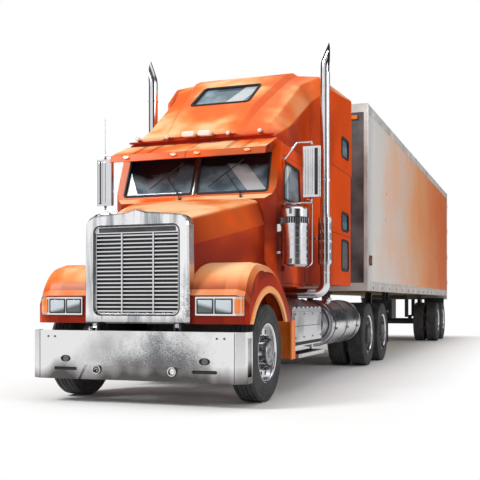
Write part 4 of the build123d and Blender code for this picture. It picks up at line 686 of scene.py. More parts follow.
def surround_finish():
    """Chrome of the grille surround: painted reflections as upright grey streaks, a darker foot and dark spatter at one
    side.
    """
    graph, shader = start("surround chrome")
    place = graph.place()
    x, y, z = graph.split(place)
    grime = effect(graph, "Grime", patch_scale=2.4, spatter_scale=90.0, amount=0.9)
    # Painted reflections: upright grey streaks, stronger within half a metre of the middle
    wander = graph.noise(graph.scaled(place, (7.0, 2.0, 0.9)), 1.0, 3)
    streak = graph.remap(wander, 0.47, 0.6)
    inner = graph.remap(graph.absolute(x), 0.5, 0.575, 1.0, 0.0)
    grey = graph.times(streak, graph.plus(graph.times(inner, 0.35), 0.45))
    tint = graph.mix(grey, (0.9, 0.9, 0.9), (0.24, 0.26, 0.28))
    # Darker grey towards the foot
    foot = graph.remap(graph.plus(z, graph.times(wander, 0.1)), 0.98, 0.90)
    tint = graph.mix(graph.times(foot, 0.6), tint, (0.26, 0.27, 0.28))
    soot = graph.times(graph.remap(x, 0.42, 0.62), graph.remap(z, 1.45, 0.95))
    soot = graph.times(soot, graph.remap(graph.noise(place, 24.0, 4, 0.7), 0.42, 0.6))
    tint = graph.mix(graph.times(soot, 0.85), tint, (0.03, 0.032, 0.035))
    tint = graph.mix(graph.times(grime["Patches"], 0.3), tint, (0.2, 0.2, 0.21))
    graph.fill(shader, {"Base Color": graph.mix(grime["Spatter"], tint, (0.03, 0.03, 0.03)), "Metallic": 1.0,
                        "Roughness": 0.2})


def bumper_finish():
    """Grimed bumper plate: a cloud of dark spatter right of the middle, a painted brown reflection low down and painted
    shade along the lower step.
    """
    graph, shader = start("bumper chrome")
    place = graph.place()
    x, y, z = graph.split(place)
    grime = effect(graph, "Grime", patch_scale=1.6, spatter_scale=110.0, amount=1.0)
    fine = graph.noise(place, 140.0, 2, 0.6)
    soft = graph.noise(place, 3.2, 4)
    spread = graph.plus(graph.times(graph.off(x, 0.3), 0.85), graph.times(graph.off(z, 0.46), 1.4))
    cloud = graph.minus(graph.plus(soft, 0.08), spread)
    dust = graph.remap(graph.plus(cloud, graph.times(graph.minus(fine, 0.5), 1.3)), 0.0, 0.5)
    metal = graph.mix(graph.times(dust, 0.85, True), (0.8, 0.8, 0.8), (0.04, 0.045, 0.055))
    metal = graph.mix(graph.times(grime["Patches"], 0.6), metal, (0.3, 0.3, 0.31))
    metal = graph.mix(grime["Spatter"], metal, (0.02, 0.02, 0.022))
    # Painted brown reflection and shade low on the plate under a wavy line, darkest along the lower step
    wave = graph.times(graph.minus(graph.noise(graph.scaled(place, (1.0, 1.0, 0.2)), 2.6, 2), 0.5), 0.5)
    level = graph.plus(z, wave)
    metal = graph.mix(graph.times(graph.remap(level, 0.44, 0.33), 0.8, True), metal, (0.15, 0.13, 0.125))
    metal = graph.mix(graph.times(graph.remap(level, 0.33, 0.27), 0.7, True), metal, (0.03, 0.028, 0.03))
    graph.fill(shader, {"Base Color": metal, "Metallic": 1.0,
                        "Roughness": graph.plus(graph.times(dust, 0.3), 0.2, True)})


def plain_finish(name, base, rough, vary=0.35, scale=14.0, metallic=0.0, grain=0.0):
    """Cast, moulded or satin surface with uneven tone and a fine grain."""
    graph, shader = start(name)
    place = graph.place()
    tone = graph.noise(place, scale, 4)
    tint = graph.mix(graph.remap(tone, 0.35, 0.65), scaled_colour(base, 1 - vary), scaled_colour(base, 1 + vary))
    graph.fill(shader, {"Base Color": tint, "Roughness": graph.remap(tone, 0.3, 0.7, rough - 0.08, rough + 0.08),
                        "Metallic": metallic})
    if grain:
        bump(graph, shader, graph.noise(place, 420.0, 2), grain, 0.001)


def glass_finish():
    """Tinted panes: a painted black shadow of the visor over the windscreen's upper part, blue-grey below, with painted
    pale slanted reflections.
    """
    graph, shader = start("cab glass")
    place = graph.place()
    x, y, z = graph.split(place)
    tone = graph.noise(graph.scaled(place, (1.4, 0.6, 2.0)), 1.8, 3)
    # Painted shadow of the visor: black over the upper windscreen, reaching lower on one side
    rise = graph.plus(graph.remap(z, 2.5, 2.84), graph.times(graph.minus(tone, 0.5), 0.8))
    rise = graph.plus(rise, graph.times(graph.below(x, -0.25), 0.22))
    dim = graph.times(graph.remap(rise, 0.35, 0.65), graph.below(y, -6.95))
    base = graph.mix(graph.remap(tone, 0.4, 0.62), (0.09, 0.15, 0.19), (0.3, 0.42, 0.5))
    base = graph.mix(dim, base, (0.008, 0.009, 0.012))
    # Painted reflections: pale slanted bands on the right half, outside the painted shadow
    slant = graph.plus(graph.times(x, 0.75), graph.minus(z, graph.times(y, 0.9)))
    band = graph.math("FRACT", graph.times(slant, 0.62))
    flash = graph.times(graph.below(graph.off(band, 0.95), 0.06), graph.above(x, 0.0))
    flash = graph.times(flash, graph.minus(1.0, dim, True))
    graph.fill(shader, {"Base Color": graph.mix(graph.times(flash, 0.75), base, (0.8, 0.83, 0.85)), "Roughness": 0.03,
                        "Transmission Weight": 0.22, "IOR": 1.45})


def louvre_finish():
    """Grey moulded vent with horizontal slats in its relief, with painted shade in the troughs and a painted highlight
    on the crests.
    """
    graph, shader = start("vent grey")
    z = graph.split(graph.place())[2]
    slats = graph.math("SINE", graph.times(z, 2 * math.pi / 0.032))
    # Painted shade and highlight: darker in the slat troughs, lighter on the crests
    tint = graph.mix(graph.remap(slats, -1, 1), (0.05, 0.05, 0.055), (0.2, 0.2, 0.21))
    graph.fill(shader, {"Base Color": tint, "Roughness": 0.5})
    bump(graph, shader, slats, 0.6, 0.006)


def trailer_finish(name, panel, wash, hot):
    """White wall, sprayed orange towards the rear with a paler cloud, speckle and a few blots near the front."""
    graph, shader = start(name)
    place = graph.place()
    x, y, z = graph.split(place)
    tone = effect(graph, "Wash", scale=0.42, grain=48.0, seed=3.0)["Tone"]
    fine = graph.noise(place, 30.0, 2, 0.7)
    reach = graph.plus(graph.times(graph.remap(y, -2.6, 8.0), 1.25), graph.times(graph.remap(z, 1.4, 3.4), 0.18))
    cloud = graph.times(graph.minus(tone, 0.5), 1.5)
    amount = graph.plus(graph.plus(reach, cloud), graph.times(graph.minus(fine, 0.5), 0.8))
    pale = graph.mix(graph.remap(amount, 0.15, 0.7), panel, wash)
    warm = graph.mix(graph.remap(amount, 0.65, 1.35), pale, hot)
    edge = graph.remap(y, -3.26, -2.75, 1.0, 0.0)
    cool = graph.mix(graph.times(edge, 0.5), warm, (0.36, 0.36, 0.42))
    spots = graph.node("TexVoronoi")
    graph.fill(spots.inputs, {"Vector": place, "Scale": 5.5})
    near = graph.below(spots.outputs["Distance"], 0.16)
    patch = graph.times(graph.remap(graph.off(y, -1.75), 0.3, 0.55, 1, 0),
                        graph.remap(graph.off(z, 2.75), 0.22, 0.4, 1, 0))
    blots = graph.times(near, graph.above(patch, 0.5))
    graph.fill(shader, {"Base Color": graph.mix(graph.times(blots, 0.8), cool, (0.42, 0.13, 0.03)),
                        "Roughness": graph.remap(tone, 0.3, 0.7, 0.36, 0.52), "Specular IOR Level": 0.35})


def wood_finish():
    """Worn floor boards running along the trailer."""
    graph, shader = start("floor boards")
    place = graph.place()
    grain = graph.noise(graph.scaled(place, (14, 0.8, 14)), 2.0, 5)
    seam = graph.below(graph.math("FRACT", graph.math("DIVIDE", graph.split(place)[0], 0.15)), 0.04)
    tone = graph.mix(graph.remap(grain, 0.3, 0.7), (0.2, 0.12, 0.06), (0.42, 0.3, 0.17))
    graph.fill(shader, {"Base Color": graph.mix(seam, tone, (0.04, 0.03, 0.02)), "Roughness": 0.75})


def lens_finish(name, base, shadow=None):
    """Moulded lamp lens with fine flutes, darker towards a shadow's height."""
    graph, shader = start(name)
    x, y, z = graph.split(graph.place())
    flutes = graph.math("SINE", graph.times(graph.plus(x, y), 2 * math.pi / 0.012))
    moulded = graph.mix(graph.remap(flutes, -1, 1, 0.0, 0.35), base, scaled_colour(base, 0.6))
    if shadow:
        foot = graph.remap(graph.plus(z, graph.times(graph.absolute(x), 0.25)), *shadow)
        moulded = graph.mix(foot, moulded, scaled_colour(base, 0.12))
    graph.fill(shader, {"Base Color": moulded, "Roughness": 0.12, "Coat Weight": 0.8, "Coat Roughness": 0.04})
    bump(graph, shader, flutes, 0.25, 0.001)


def rubber_finish():
    """Tyre rubber: dusty grey on the sidewall rings, darker in the grooves."""
    graph, shader = start("tyre rubber")
    place = graph.place()
    dust = graph.noise(place, 7.0, 5)
    speck = graph.noise(place, 90.0, 2)
    amount = graph.plus(graph.remap(dust, 0.35, 0.7, 0.0, 0.6), graph.remap(speck, 0.5, 0.75, 0, 0.3), True)
    graph.fill(shader, {"Base Color": graph.mix(amount, (0.02, 0.02, 0.022), (0.1, 0.095, 0.095)),
                        "Roughness": graph.remap(dust, 0.3, 0.7, 0.6, 0.85)})
    bump(graph, shader, speck, 0.25, 0.001)


def fabric_finish():
    """Dark woven seat cloth."""
    graph, shader = start("seat cloth")
    weave = graph.node("TexWave", wave_type="BANDS", bands_direction="DIAGONAL")
    graph.fill(weave.inputs, {"Vector": graph.place(), "Scale": 120})
    graph.fill(shader, {"Base Color": graph.mix(weave.outputs["Fac"], (0.05, 0.045, 0.05), (0.11, 0.1, 0.1)),
                        "Roughness": 0.9, "Sheen Weight": 0.3})
    bump(graph, shader, weave.outputs["Fac"], 0.3, 0.001)


SOOT, OIL = (0.03, 0.03, 0.035), (0.01, 0.01, 0.01)
# Each row is (name, base, dirt, roughness, amount of dirt, patch scale, spatter scale)
METALS = (
    ("bezel silver", (0.8, 0.78, 0.76), SOOT, 0.3, 0.3, 3.0, 60.0),
    ("stack chrome", (0.7, 0.7, 0.72), SOOT, 0.16, 0.3, 2.5, 50.0),
    ("tank metal", (0.62, 0.62, 0.64), SOOT, 0.26, 0.6, 2.2, 60.0),
    ("wheel metal", (0.74, 0.74, 0.76), SOOT, 0.2, 0.35, 4.0, 60.0),
    ("nut steel", (0.16, 0.16, 0.17), OIL, 0.25, 0.5, 6.0, 60.0),
    ("hub metal", (0.3, 0.3, 0.31), OIL, 0.28, 0.6, 6.0, 60.0),
    ("mirror face", (0.8, 0.82, 0.85), SOOT, 0.02, 0.05, 3.0, 30.0),
    ("bare steel", (0.4, 0.4, 0.42), SOOT, 0.35, 0.7, 5.0, 60.0),
)
# Each row is (name, base, roughness, variation, scale, metallic, grain)
PLAINS = (
    ("chassis black", (0.018, 0.018, 0.02), 0.55, 0.5, 9.0, 0.0, 0.15),
    ("cast iron", (0.05, 0.05, 0.052), 0.6, 0.4, 22.0, 0.6, 0.3),
    ("grille mesh", (0.01, 0.01, 0.011), 0.5, 0.6, 60.0, 0.0, 0.5),
    ("header grey", (0.03, 0.032, 0.036), 0.35, 0.8, 3.0),
    ("wiper black", (0.02, 0.02, 0.022), 0.4, 0.3, 20.0),
    ("deep seam", (0.16, 0.02, 0.006), 0.5, 0.4, 20.0),
    ("shadow black", (0.008, 0.008, 0.009), 0.6, 0.4, 10.0),
    ("rubber seal", (0.012, 0.012, 0.013), 0.7, 0.3, 30.0, 0.0, 0.2),
    ("dash plastic", (0.03, 0.032, 0.035), 0.6, 0.3, 30.0, 0.0, 0.3),
    ("rail white", (0.62, 0.6, 0.58), 0.42, 0.16, 3.0),
    ("nose grey", (0.12, 0.115, 0.12), 0.5, 0.7, 1.6),
    ("mud flap", (0.015, 0.015, 0.016), 0.8, 0.4, 12.0, 0.0, 0.3),
)
LENSES = (("clear lens", (0.5, 0.58, 0.62), (1.235, 1.195)), ("amber lens", (0.85, 0.2, 0.02)),
          ("white lens", (0.85, 0.78, 0.72)), ("red lens", (0.45, 0.02, 0.015)))


def make_finishes(paint):
    """Every material, named for what it covers."""
    make_effects()
    tones = paint.body, paint.light, paint.deep
    paint_finish("cab orange", *tones, (1.2, 3.3), (-5.9, -5.2))
    paint_finish("hood orange", *tones, (0.9, 2.2), (-7.4, -6.4), 5.0, hood_bands)
    paint_finish("roof orange", *tones, (2.6, 3.9), (-7.0, -4.2), 2.0, roof_bands)
    paint_finish("lip orange", (0.92, 0.26, 0.05), (0.98, 0.5, 0.22), paint.body, (0.4, 0.9))
    metal_finish("bright chrome", paint.chrome, SOOT, 0.14, 0.45)
    trailer_finish("trailer wall", paint.panel, (0.9, 0.42, 0.19), (0.78, 0.17, 0.035))
    for write, rows in ((metal_finish, METALS), (plain_finish, PLAINS), (lens_finish, LENSES)):
        for values in rows:
            write(*values)
    for write in (surround_finish, bumper_finish, glass_finish, louvre_finish, wood_finish, rubber_finish,
                  fabric_finish):
        write()


NODE_FINISH = {
    "frame_rails": "chassis black", "front_axle": "cast iron", "engine": "cast iron", "bumper": "bumper chrome",
    "cab_shell": "cab orange", "cab_glass": "cab glass", "sleeper_shell": "cab orange", "roof_fairing": "roof orange",
    "sun_visor": "roof orange", "cab_interior": "dash plastic", "air_cleaners": "stack chrome",
    "exhaust_stacks": "stack chrome", "fuel_tanks": "tank metal", "step_boxes": "tank metal",
    "side_skirts": "lip orange", "fifth_wheel": "cast iron", "drive_axles": "cast iron", "cab_lamps": "amber lens",
    "hood_shell": "hood orange", "grille_surround": "surround chrome", "grille_bars": "bright chrome",
    "headlamps": "bezel silver", "knuckle": "cast iron", "trailer_sides": "trailer wall",
    "trailer_front": "nose grey", "trailer_roof": "rail white", "trailer_floor": "floor boards",
    "trailer_frame": "rail white", "trailer_bogie": "chassis black", "landing_gear": "chassis black",
    "trailer_lamps": "amber lens", "cargo_door": "trailer wall", "door_glass": "cab glass", "door_": "cab orange",
    "mirror": "bright chrome", "tyre": "tyre rubber", "rim": "wheel metal",
}


class TRUCK_OT_dress_frame(bpy.types.Operator):
    """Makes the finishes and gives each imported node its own"""

    bl_idname = "truck.dress_frame"
    bl_label = "Finishes"

    def execute(self, context):
        make_finishes(settings()[0])
        for name, piece in NODES.items():
            key = name if name in NODE_FINISH else next(k for k in NODE_FINISH if name.startswith(k))
            for slot in piece.material_slots:
                slot.material = bpy.data.materials[NODE_FINISH[key]]
        return {"FINISHED"}


# Wheels: treaded tyres in place of the plain ones, nuts, hub caps and rim lips.
# Points of profiles are (radius, place along the axle).

TYRE_SIDE = ((0.303, -0.112), (0.322, -0.124), (0.330, -0.131), (0.336, -0.129), (0.376, -0.139), (0.400, -0.1385),
             (0.404, -0.142), (0.412, -0.142), (0.416, -0.137), (0.450, -0.134), (0.454, -0.137), (0.462, -0.136),
             (0.466, -0.131), (0.490, -0.127), (0.498, -0.125), (0.506, -0.121))
RIB_EDGES = ((-0.112, -0.079), (-0.067, -0.026), (-0.014, 0.014), (0.026, 0.067), (0.079, 0.112))
TREAD_R, CROWN = 0.519, 0.3
NUT_PROFILE = ((0, 0), (0.022, 0), (0.022, 0.007), (0.0165, 0.011), (0.0155, 0.05), (0.010, 0.060), (0, 0.062))
NUT_CIRCLE = 0.1675
LIP_PROFILE = ((0.300, 0), (0.318, 0.006), (0.322, 0.016), (0.316, 0.020), (0.300, 0.014), (0.292, -0.004))
CAP_PROFILE = ((0.1315, -0.03), (0.1315, 0.004), (0.124, 0.012), (0.104, 0.013), (0.098, 0.006), (0.052, 0.006),
               (0.046, 0.015), (0.018, 0.018), (0, 0.018))
FRONT_X, DRIVE_X, TRAILER_X = 1.06, 1.08, 1.15
FRONT_AT, DRIVES_AT, TRAILERS_AT = 0.8, (6.24, 7.56), (15.63, 16.88)
DUAL_SPACING = 0.34
AXLE_HEIGHT = 0.52
DISC_FACE, DISC_BACK = 0.078, -0.062
HUB_END, DUAL_HUB_END = 0.145, 0.025
RIM_EDGE = 0.108


def tyre_body(name, groove):
    """One tyre about the origin with its axle along X, its ribs parted by grooves."""
    ribs = []
    for low, high in RIB_EDGES:
        ribs += [(TREAD_R - groove, low - 0.002), (TREAD_R - CROWN * low ** 2, low),
                 (TREAD_R - CROWN * high ** 2, high), (TREAD_R - groove, high + 0.002)]
    far_side = [(r, -w) for r, w in reversed(TYRE_SIDE)]
    return lathe(name, [*TYRE_SIDE, *ribs, *far_side], (0, 0, 0), "X", 96, closed=True)


def lugs(name, count, width, reach):
    """Shoulder blocks all round both edges of the tread."""
    lug = joined([block(name, (side * 0.084, -width / 2, TREAD_R - 0.03), (side * reach, width / 2, TREAD_R + 0.0005),
                        0.002, 1) for side in (1, -1)], name)
    rest()
    bpy.ops.object.empty_add(location=(0, 0, 0), rotation=(2 * math.pi / count, 0, 0))
    turn = bpy.context.object
    modify(lug, "ARRAY", count=count, use_relative_offset=False, use_object_offset=True, offset_object=turn)
    bpy.data.objects.remove(turn)
    return lug


def wheel_rows():
    """Each wheel's name, side, length along the truck, outer tyre X and whether it is twinned."""
    rows = []
    for side, name in SIDES:
        rows.append((f"front_{name}", side, FRONT_AT, FRONT_X, False))
        for axle, x, places in (("drive", DRIVE_X, DRIVES_AT), ("trailer", TRAILER_X, TRAILERS_AT)):
            rows += [(f"{axle}_{number}_{name}", side, place, x, True) for number, place in enumerate(places, 1)]
    return rows


class TRUCK_OT_tyres(bpy.types.Operator):
    """Treaded tyres that stand for the plain ones"""

    bl_idname = "truck.tyres"
    bl_label = "Tyres"

    def execute(self, context):
        wheels = settings()[1]
        rib = tyre_body("rib tyre", wheels.groove)
        lug = joined([tyre_body("lug tyre", wheels.groove), lugs("lug", wheels.blocks, 0.022, 0.123)], "lug_tyre")
        for name, side, length, x, twinned in wheel_rows():
            places = (x, x - DUAL_SPACING) if twinned else (x,)
            tyres = [twin(lug if twinned else rib, (side * place, along(length), AXLE_HEIGHT)) for place in places]
            piece = smooth(finish(f"tyre_tread_{name}", f"wheel_{name}", "tyre rubber", "tyre", *tyres))
            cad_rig.replaces(piece, f"tyre_{name}")
        for source in (rib, lug):
            bpy.data.objects.remove(source)
        return {"FINISHED"}


class TRUCK_OT_wheel_fittings(bpy.types.Operator):
    """Nuts, hub caps and rim lips of every wheel"""

    bl_idname = "truck.wheel_fittings"
    bl_label = "Wheel Fittings"

    def execute(self, context):
        centre = (0, 0, 0)
        nut = lathe("nut", NUT_PROFILE, (0, 0, NUT_CIRCLE), "X", 12)
        nuts = ring_copies(nut, settings()[1].nuts, centre)
        lip = lathe("lip", LIP_PROFILE, centre, "X", 64, closed=True)
        cap = lathe("cap", CAP_PROFILE, centre, "X", 40)
        for name, side, length, x, twinned in wheel_rows():
            face = x + (DISC_BACK if twinned else DISC_FACE)
            end = x + (DUAL_HUB_END if twinned else HUB_END)
            for title, source, place, look in (("nuts", nuts, face, "nut steel"),
                                               ("rim_lip", lip, x + RIM_EDGE, "wheel metal"),
                                               ("hub_cap", cap, end, "hub metal")):
                piece = twin(source, (place, 0, 0))
                half_turn = Matrix.Rotation(0 if side > 0 else math.pi, 4, "Z")
                piece.matrix_world = Matrix.Translation((0, along(length), AXLE_HEIGHT)) @ half_turn
                finish(f"{title}_{name}", f"wheel_{name}", look, "rim", settle(piece))
        for source in (nuts, lip, cap):
            bpy.data.objects.remove(source)
        return {"FINISHED"}


# Front: headlamps, grille trim and the fittings of the bumper

FORWARDS = (0, -1, 0)
LAMP_Z = 1.02
LAMP_CELLS = ((0.754, 0.182), (0.9535, 0.193))
BEZEL_BEND, BEZEL_LEAN = 1.085, 0.375
GRILLE_Z = 1.39
FOG_LAMP = (0.79, 0.47)


def facing(x, z, width, height, radius, length):
    """Loop of points for a rim strip that faces forwards."""
    return [(x + u, along(length), z + v) for u, v in rounded(width, height, radius)]


class TRUCK_OT_headlamps(bpy.types.Operator):
    """Framed lenses and turn lamps in the two bezels"""

    bl_idname = "truck.headlamps"
    bl_label = "Headlamps"

    def execute(self, context):
        for side, name in SIDES:
            frames = [rim_strip("frame", facing(side * x, LAMP_Z, width, 0.154, 0.012, 0.098), 0.012, 0.005, FORWARDS)
                      for x, width in LAMP_CELLS]
            finish(f"lamp_frame_{name}", "hood", "shadow black", "lamp", *frames)
            lenses = [slab("lens", about(side * x, width / 2 - 0.011), (0.094, 0.108), about(LAMP_Z, 0.066), 0.006, 3)
                      for x, width in LAMP_CELLS]
            smooth(finish(f"lamp_lens_{name}", "hood", "clear lens", "lamp", *lenses))
            near, far = (side * 1.072, along(0.085)), (side * 1.160, along(0.112))
            corners = [(*near, 0.946), (*far, 0.946), (*far, 1.094), (*near, 1.094)][::side]
            finish(f"turn_lens_{name}", "hood", "amber lens", "lamp", sheet("turn lamp", corners, 0.016, 0.005, 3))
            edge = [(x, y + max(0.0, (abs(x) - BEZEL_BEND) * BEZEL_LEAN), z)
                    for x, y, z in facing(side * 0.905, LAMP_Z, 0.524, 0.198, 0.01, 0.0985)]
            edge = rim_strip("edge", edge, 0.005, 0.003, FORWARDS)
            finish(f"bezel_edge_{name}", "hood", "shadow black", "lamp", edge)
        return {"FINISHED"}


class TRUCK_OT_grille_trim(bpy.types.Operator):
    """Dark screen and header behind the bars, and the strips round the opening"""

    bl_idname = "truck.grille_trim"
    bl_label = "Grille Trim"

    def execute(self, context):
        screen = slab("screen", (-0.4835, 0.4835), (0.123, 0.128), (0.9315, 1.8485), 0.001, 1)
        finish("grille_screen", "hood", "grille mesh", "chrome", screen)
        header = slab("header", (-0.44, 0.44), (0.082, 0.0885), (1.786, 1.838), 0.003, 2)
        finish("grille_header", "hood", "header grey", "chrome", header)
        gasket = rim_strip("gasket", facing(0, GRILLE_Z, 0.992, 0.942, 0.078, 0.064), 0.014, 0.006, FORWARDS)
        finish("grille_gasket", "hood", "shadow black", "chrome", gasket)
        ring = rim_strip("ring", facing(0, GRILLE_Z, 0.956, 0.906, 0.062, 0.088), 0.012, 0.006, FORWARDS)
        finish("grille_ring", "hood", "bright chrome", "chrome", ring)
        return {"FINISHED"}


class TRUCK_OT_bumper_fittings(bpy.types.Operator):
    """Rings in the tow eyes, fog lamps, black sheets for the painted shade behind the plate's openings, end seams and
    bolts
    """

    bl_idname = "truck.bumper_fittings"
    bl_label = "Bumper Fittings"

    def execute(self, context):
        for side, name in SIDES:
            ring = lathe("ring", ((0.0345, 0.0), (0.040, -0.005), (0.047, -0.004), (0.050, 0.003), (0.050, 0.012),
                                  (0.0345, 0.012)), (side * 0.43, along(0.004), 0.36), "Y", 36, closed=True)
            finish(f"tow_ring_{name}", "tractor", "bright chrome", "chrome", ring)
            x, z = side * FOG_LAMP[0], FOG_LAMP[1]
            # A black sheet behind the opening, as painted shade
            back = slab("back", about(x, 0.16), (0.011, 0.016), (0.325, 0.53), 0.001, 1)
            finish(f"bumper_backing_{name}", "tractor", "shadow black", "chassis", back)
            lamp = drum("lamp", (x, along(0.011), z), (x, along(0.0045), z), 0.034, 24, 0.003)
            finish(f"fog_lamp_{name}", "tractor", "clear lens", "lamp", lamp)
            seam = slab("seam", about(side * 1.105, 0.003), (-0.0015, 0.004), (0.262, 0.758), 0.001, 1)
            finish(f"bumper_seam_{name}", "tractor", "shadow black", "chrome", seam)
        bolts = [drum("bolt", (x, along(0.001), 0.70), (x, along(-0.006), 0.70), 0.012, 12, 0.002)
                 for x in (-1.0, -0.92, 0.92, 1.0)]
        finish("bumper_bolts", "tractor", "nut steel", "chrome", *bolts)
        return {"FINISHED"}


# Cab: gaskets, wipers, seams, visor ribs, lamps, mirrors and seats

SCREEN_FOOT = Vector((0, along(1.56), 2.32))
SCREEN_UP = Vector((0, 0.3686, 0.9296))
SCREEN_OUT = Vector((0, -0.9296, 0.3686))
PANE_TOP = 0.5789
WIPER_REACH = 0.231
DOOR_OPENING = ((1.895, 2.280), (1.895, 2.757), (2.570, 2.737), (2.632, 2.280))
SLEEPER_PANES = ((4.180, 4.620, 2.100, 2.360, "window"), (4.180, 4.620, 3.170, 3.450, "window"),
                 (4.180, 4.620, 1.520, 1.960, "vent"))
SLATS = 14
ROOF_LOW, ROOF_HIGH = (2.350, 3.575), (3.185, 4.130)
CAB_SIDE, SLEEPER_SIDE = 1.035, 1.215
GRAB_AT = 2.93
VISOR_FOOT, VISOR_TIP = (1.352, 2.8365), (1.772, 3.0055)
VISOR_RIBS = (-0.70, -0.50, 0.50, 0.70)
ROOF_LAMPS = (-0.8, -0.4, 0.4, 0.8)
BULLET_SHELL = ((0.0245, 0.0), (0.0275, 0.004), (0.0275, 0.07), (0.022, 0.10), (0.010, 0.118), (0.0, 0.12))
BULLET_FRONT = ((0.0, -0.012), (0.012, -0.0105), (0.022, -0.003), (0.0245, 0.004))
MIRROR_X, MIRROR_AT = 1.375, 1.905
SEAT_X = 0.48


def on_screen(across, up, out=0.0):
    """A place on the windscreen's plane."""
    return SCREEN_FOOT + Vector((across, 0, 0)) + SCREEN_UP * up + SCREEN_OUT * out


def rounded_loop(corners, radius, place, steps=4):
    """Rounds the corners of a flat outline of (u, v) points and puts each through place."""
    points = []
    for i, corner in enumerate(corners):
        corner = Vector(corner)
        before = (Vector(corners[i - 1]) - corner).normalized() * radius
        after = (Vector(corners[(i + 1) % len(corners)]) - corner).normalized() * radius
        for step in range(steps + 1):
            t = step / steps
            spot = (corner + before) * (1 - t) ** 2 + corner * 2 * t * (1 - t) + (corner + after) * t ** 2
            points.append(place(spot[0], spot[1]))
    return points


class TRUCK_OT_windscreen(bpy.types.Operator):
    """Gaskets, centre post and wipers of the windscreen"""

    bl_idname = "truck.windscreen"
    bl_label = "Windscreen"

    def execute(self, context):
        strips = []
        for side in (1, -1):
            corners = [(side * 0.018, 0.028), (side * 0.942, 0.028), (side * 0.932, PANE_TOP + 0.012),
                       (side * 0.018, PANE_TOP + 0.012)]
            loop = rounded_loop(corners, 0.05, lambda u, v: on_screen(u, v, -0.004))
            strips.append(rim_strip("gasket", loop, 0.026, 0.014, SCREEN_OUT))
        finish("screen_gasket", "tractor", "rubber seal", "trim", *strips)
        post = [on_screen(x, v, 0.013) for x, v in ((-0.012, 0.02), (0.012, 0.02), (0.012, 0.59), (-0.012, 0.59))]
        finish("screen_post", "tractor", "bare steel", "trim", sheet("post", post, 0.016, 0.004))
        for number, x in enumerate((-0.16, 0.62), 1):
            middle = x - WIPER_REACH
            foot, tip = on_screen(x, -0.035, 0.035), on_screen(middle, 0.30, 0.026)
            arm = tube("arm", [foot, on_screen(x, -0.01, 0.05), tip], 0.006, 8, 0.02)
            knob = drum("knob", foot - SCREEN_OUT * 0.04, foot + SCREEN_OUT * 0.012, 0.016, 16, 0.004)
            low, high = on_screen(middle - 0.2, 0.12, 0.016), on_screen(middle + 0.2, 0.47, 0.016)
            blade = tube("blade", [low, low.lerp(high, 0.5) + SCREEN_OUT * 0.004, high], 0.006, 8)
            finish(f"wiper_{number}", "tractor", "wiper black", "trim", arm, knob, blade)
        return {"FINISHED"}


class TRUCK_OT_windows(bpy.types.Operator):
    """Gaskets of the door, sleeper and roof windows, and the louvred vents"""

    bl_idname = "truck.windows"
    bl_label = "Side Windows"

    def execute(self, context):
        for side, name in SIDES:
            door = f"cab_door_{name}"
            loop = rounded_loop(DOOR_OPENING, 0.055, lambda u, v: Vector((side * (CAB_SIDE - 0.003), along(u), v)))
            finish(f"door_gasket_{name}", door, "rubber seal", "trim",
                   rim_strip("gasket", loop, 0.024, 0.011, (side, 0, 0)))
            sill = slab("sill", about(side * (CAB_SIDE + 0.003), 0.005), (1.93, 2.6), (2.262, 2.277), 0.003)
            finish(f"door_sill_{name}", door, "bright chrome", "chrome", sill)
            for number, (near, far, low, high, kind) in enumerate(SLEEPER_PANES, 1):
                middle, centre = (near + far) / 2, (low + high) / 2
                loop = [(side * (SLEEPER_SIDE - 0.014), along(middle + u), centre + v)
                        for u, v in rounded(far - near + 0.03, high - low + 0.03, 0.07)]
                finish(f"{kind}_gasket_{number}_{name}", "tractor", "rubber seal", "trim",
                       rim_strip("gasket", loop, 0.032, 0.026, (side, 0, 0)))
                if kind == "vent":
                    self.vent(side, name, near, far, low, high)
        self.roof_gasket()
        return {"FINISHED"}

    def vent(self, side, name, near, far, low, high):
        """Slatted cover of the lower opening."""
        x = side * (SLEEPER_SIDE - 0.006)
        slat = slab("slat", about(x, 0.005), (near + 0.02, far - 0.02), (low + 0.03, low + 0.046), 0.002, 1)
        slats = row(slat, SLATS, (0, 0, (high - low - 0.06) / SLATS))
        back = slab("plate", (x - 0.008, x - 0.004), (near + 0.012, far - 0.012), (low + 0.012, high - 0.012), 0.001)
        finish(f"side_vent_{name}", "tractor", "vent grey", "trim", slats, back)

    def roof_gasket(self):
        """Gasket of the roof window, on the slope."""
        (near, low), (far, high) = ROOF_LOW, ROOF_HIGH
        slope = (high - low) / (far - near)
        loop = [(u, along(near + 0.35 + v), low + slope * (0.35 + v) - 0.022) for u, v in rounded(0.83, 0.55, 0.06)]
        gasket = rim_strip("gasket", loop, 0.034, 0.034, (0, -slope, 1))
        finish("roof_gasket", "tractor", "rubber seal", "trim", gasket)


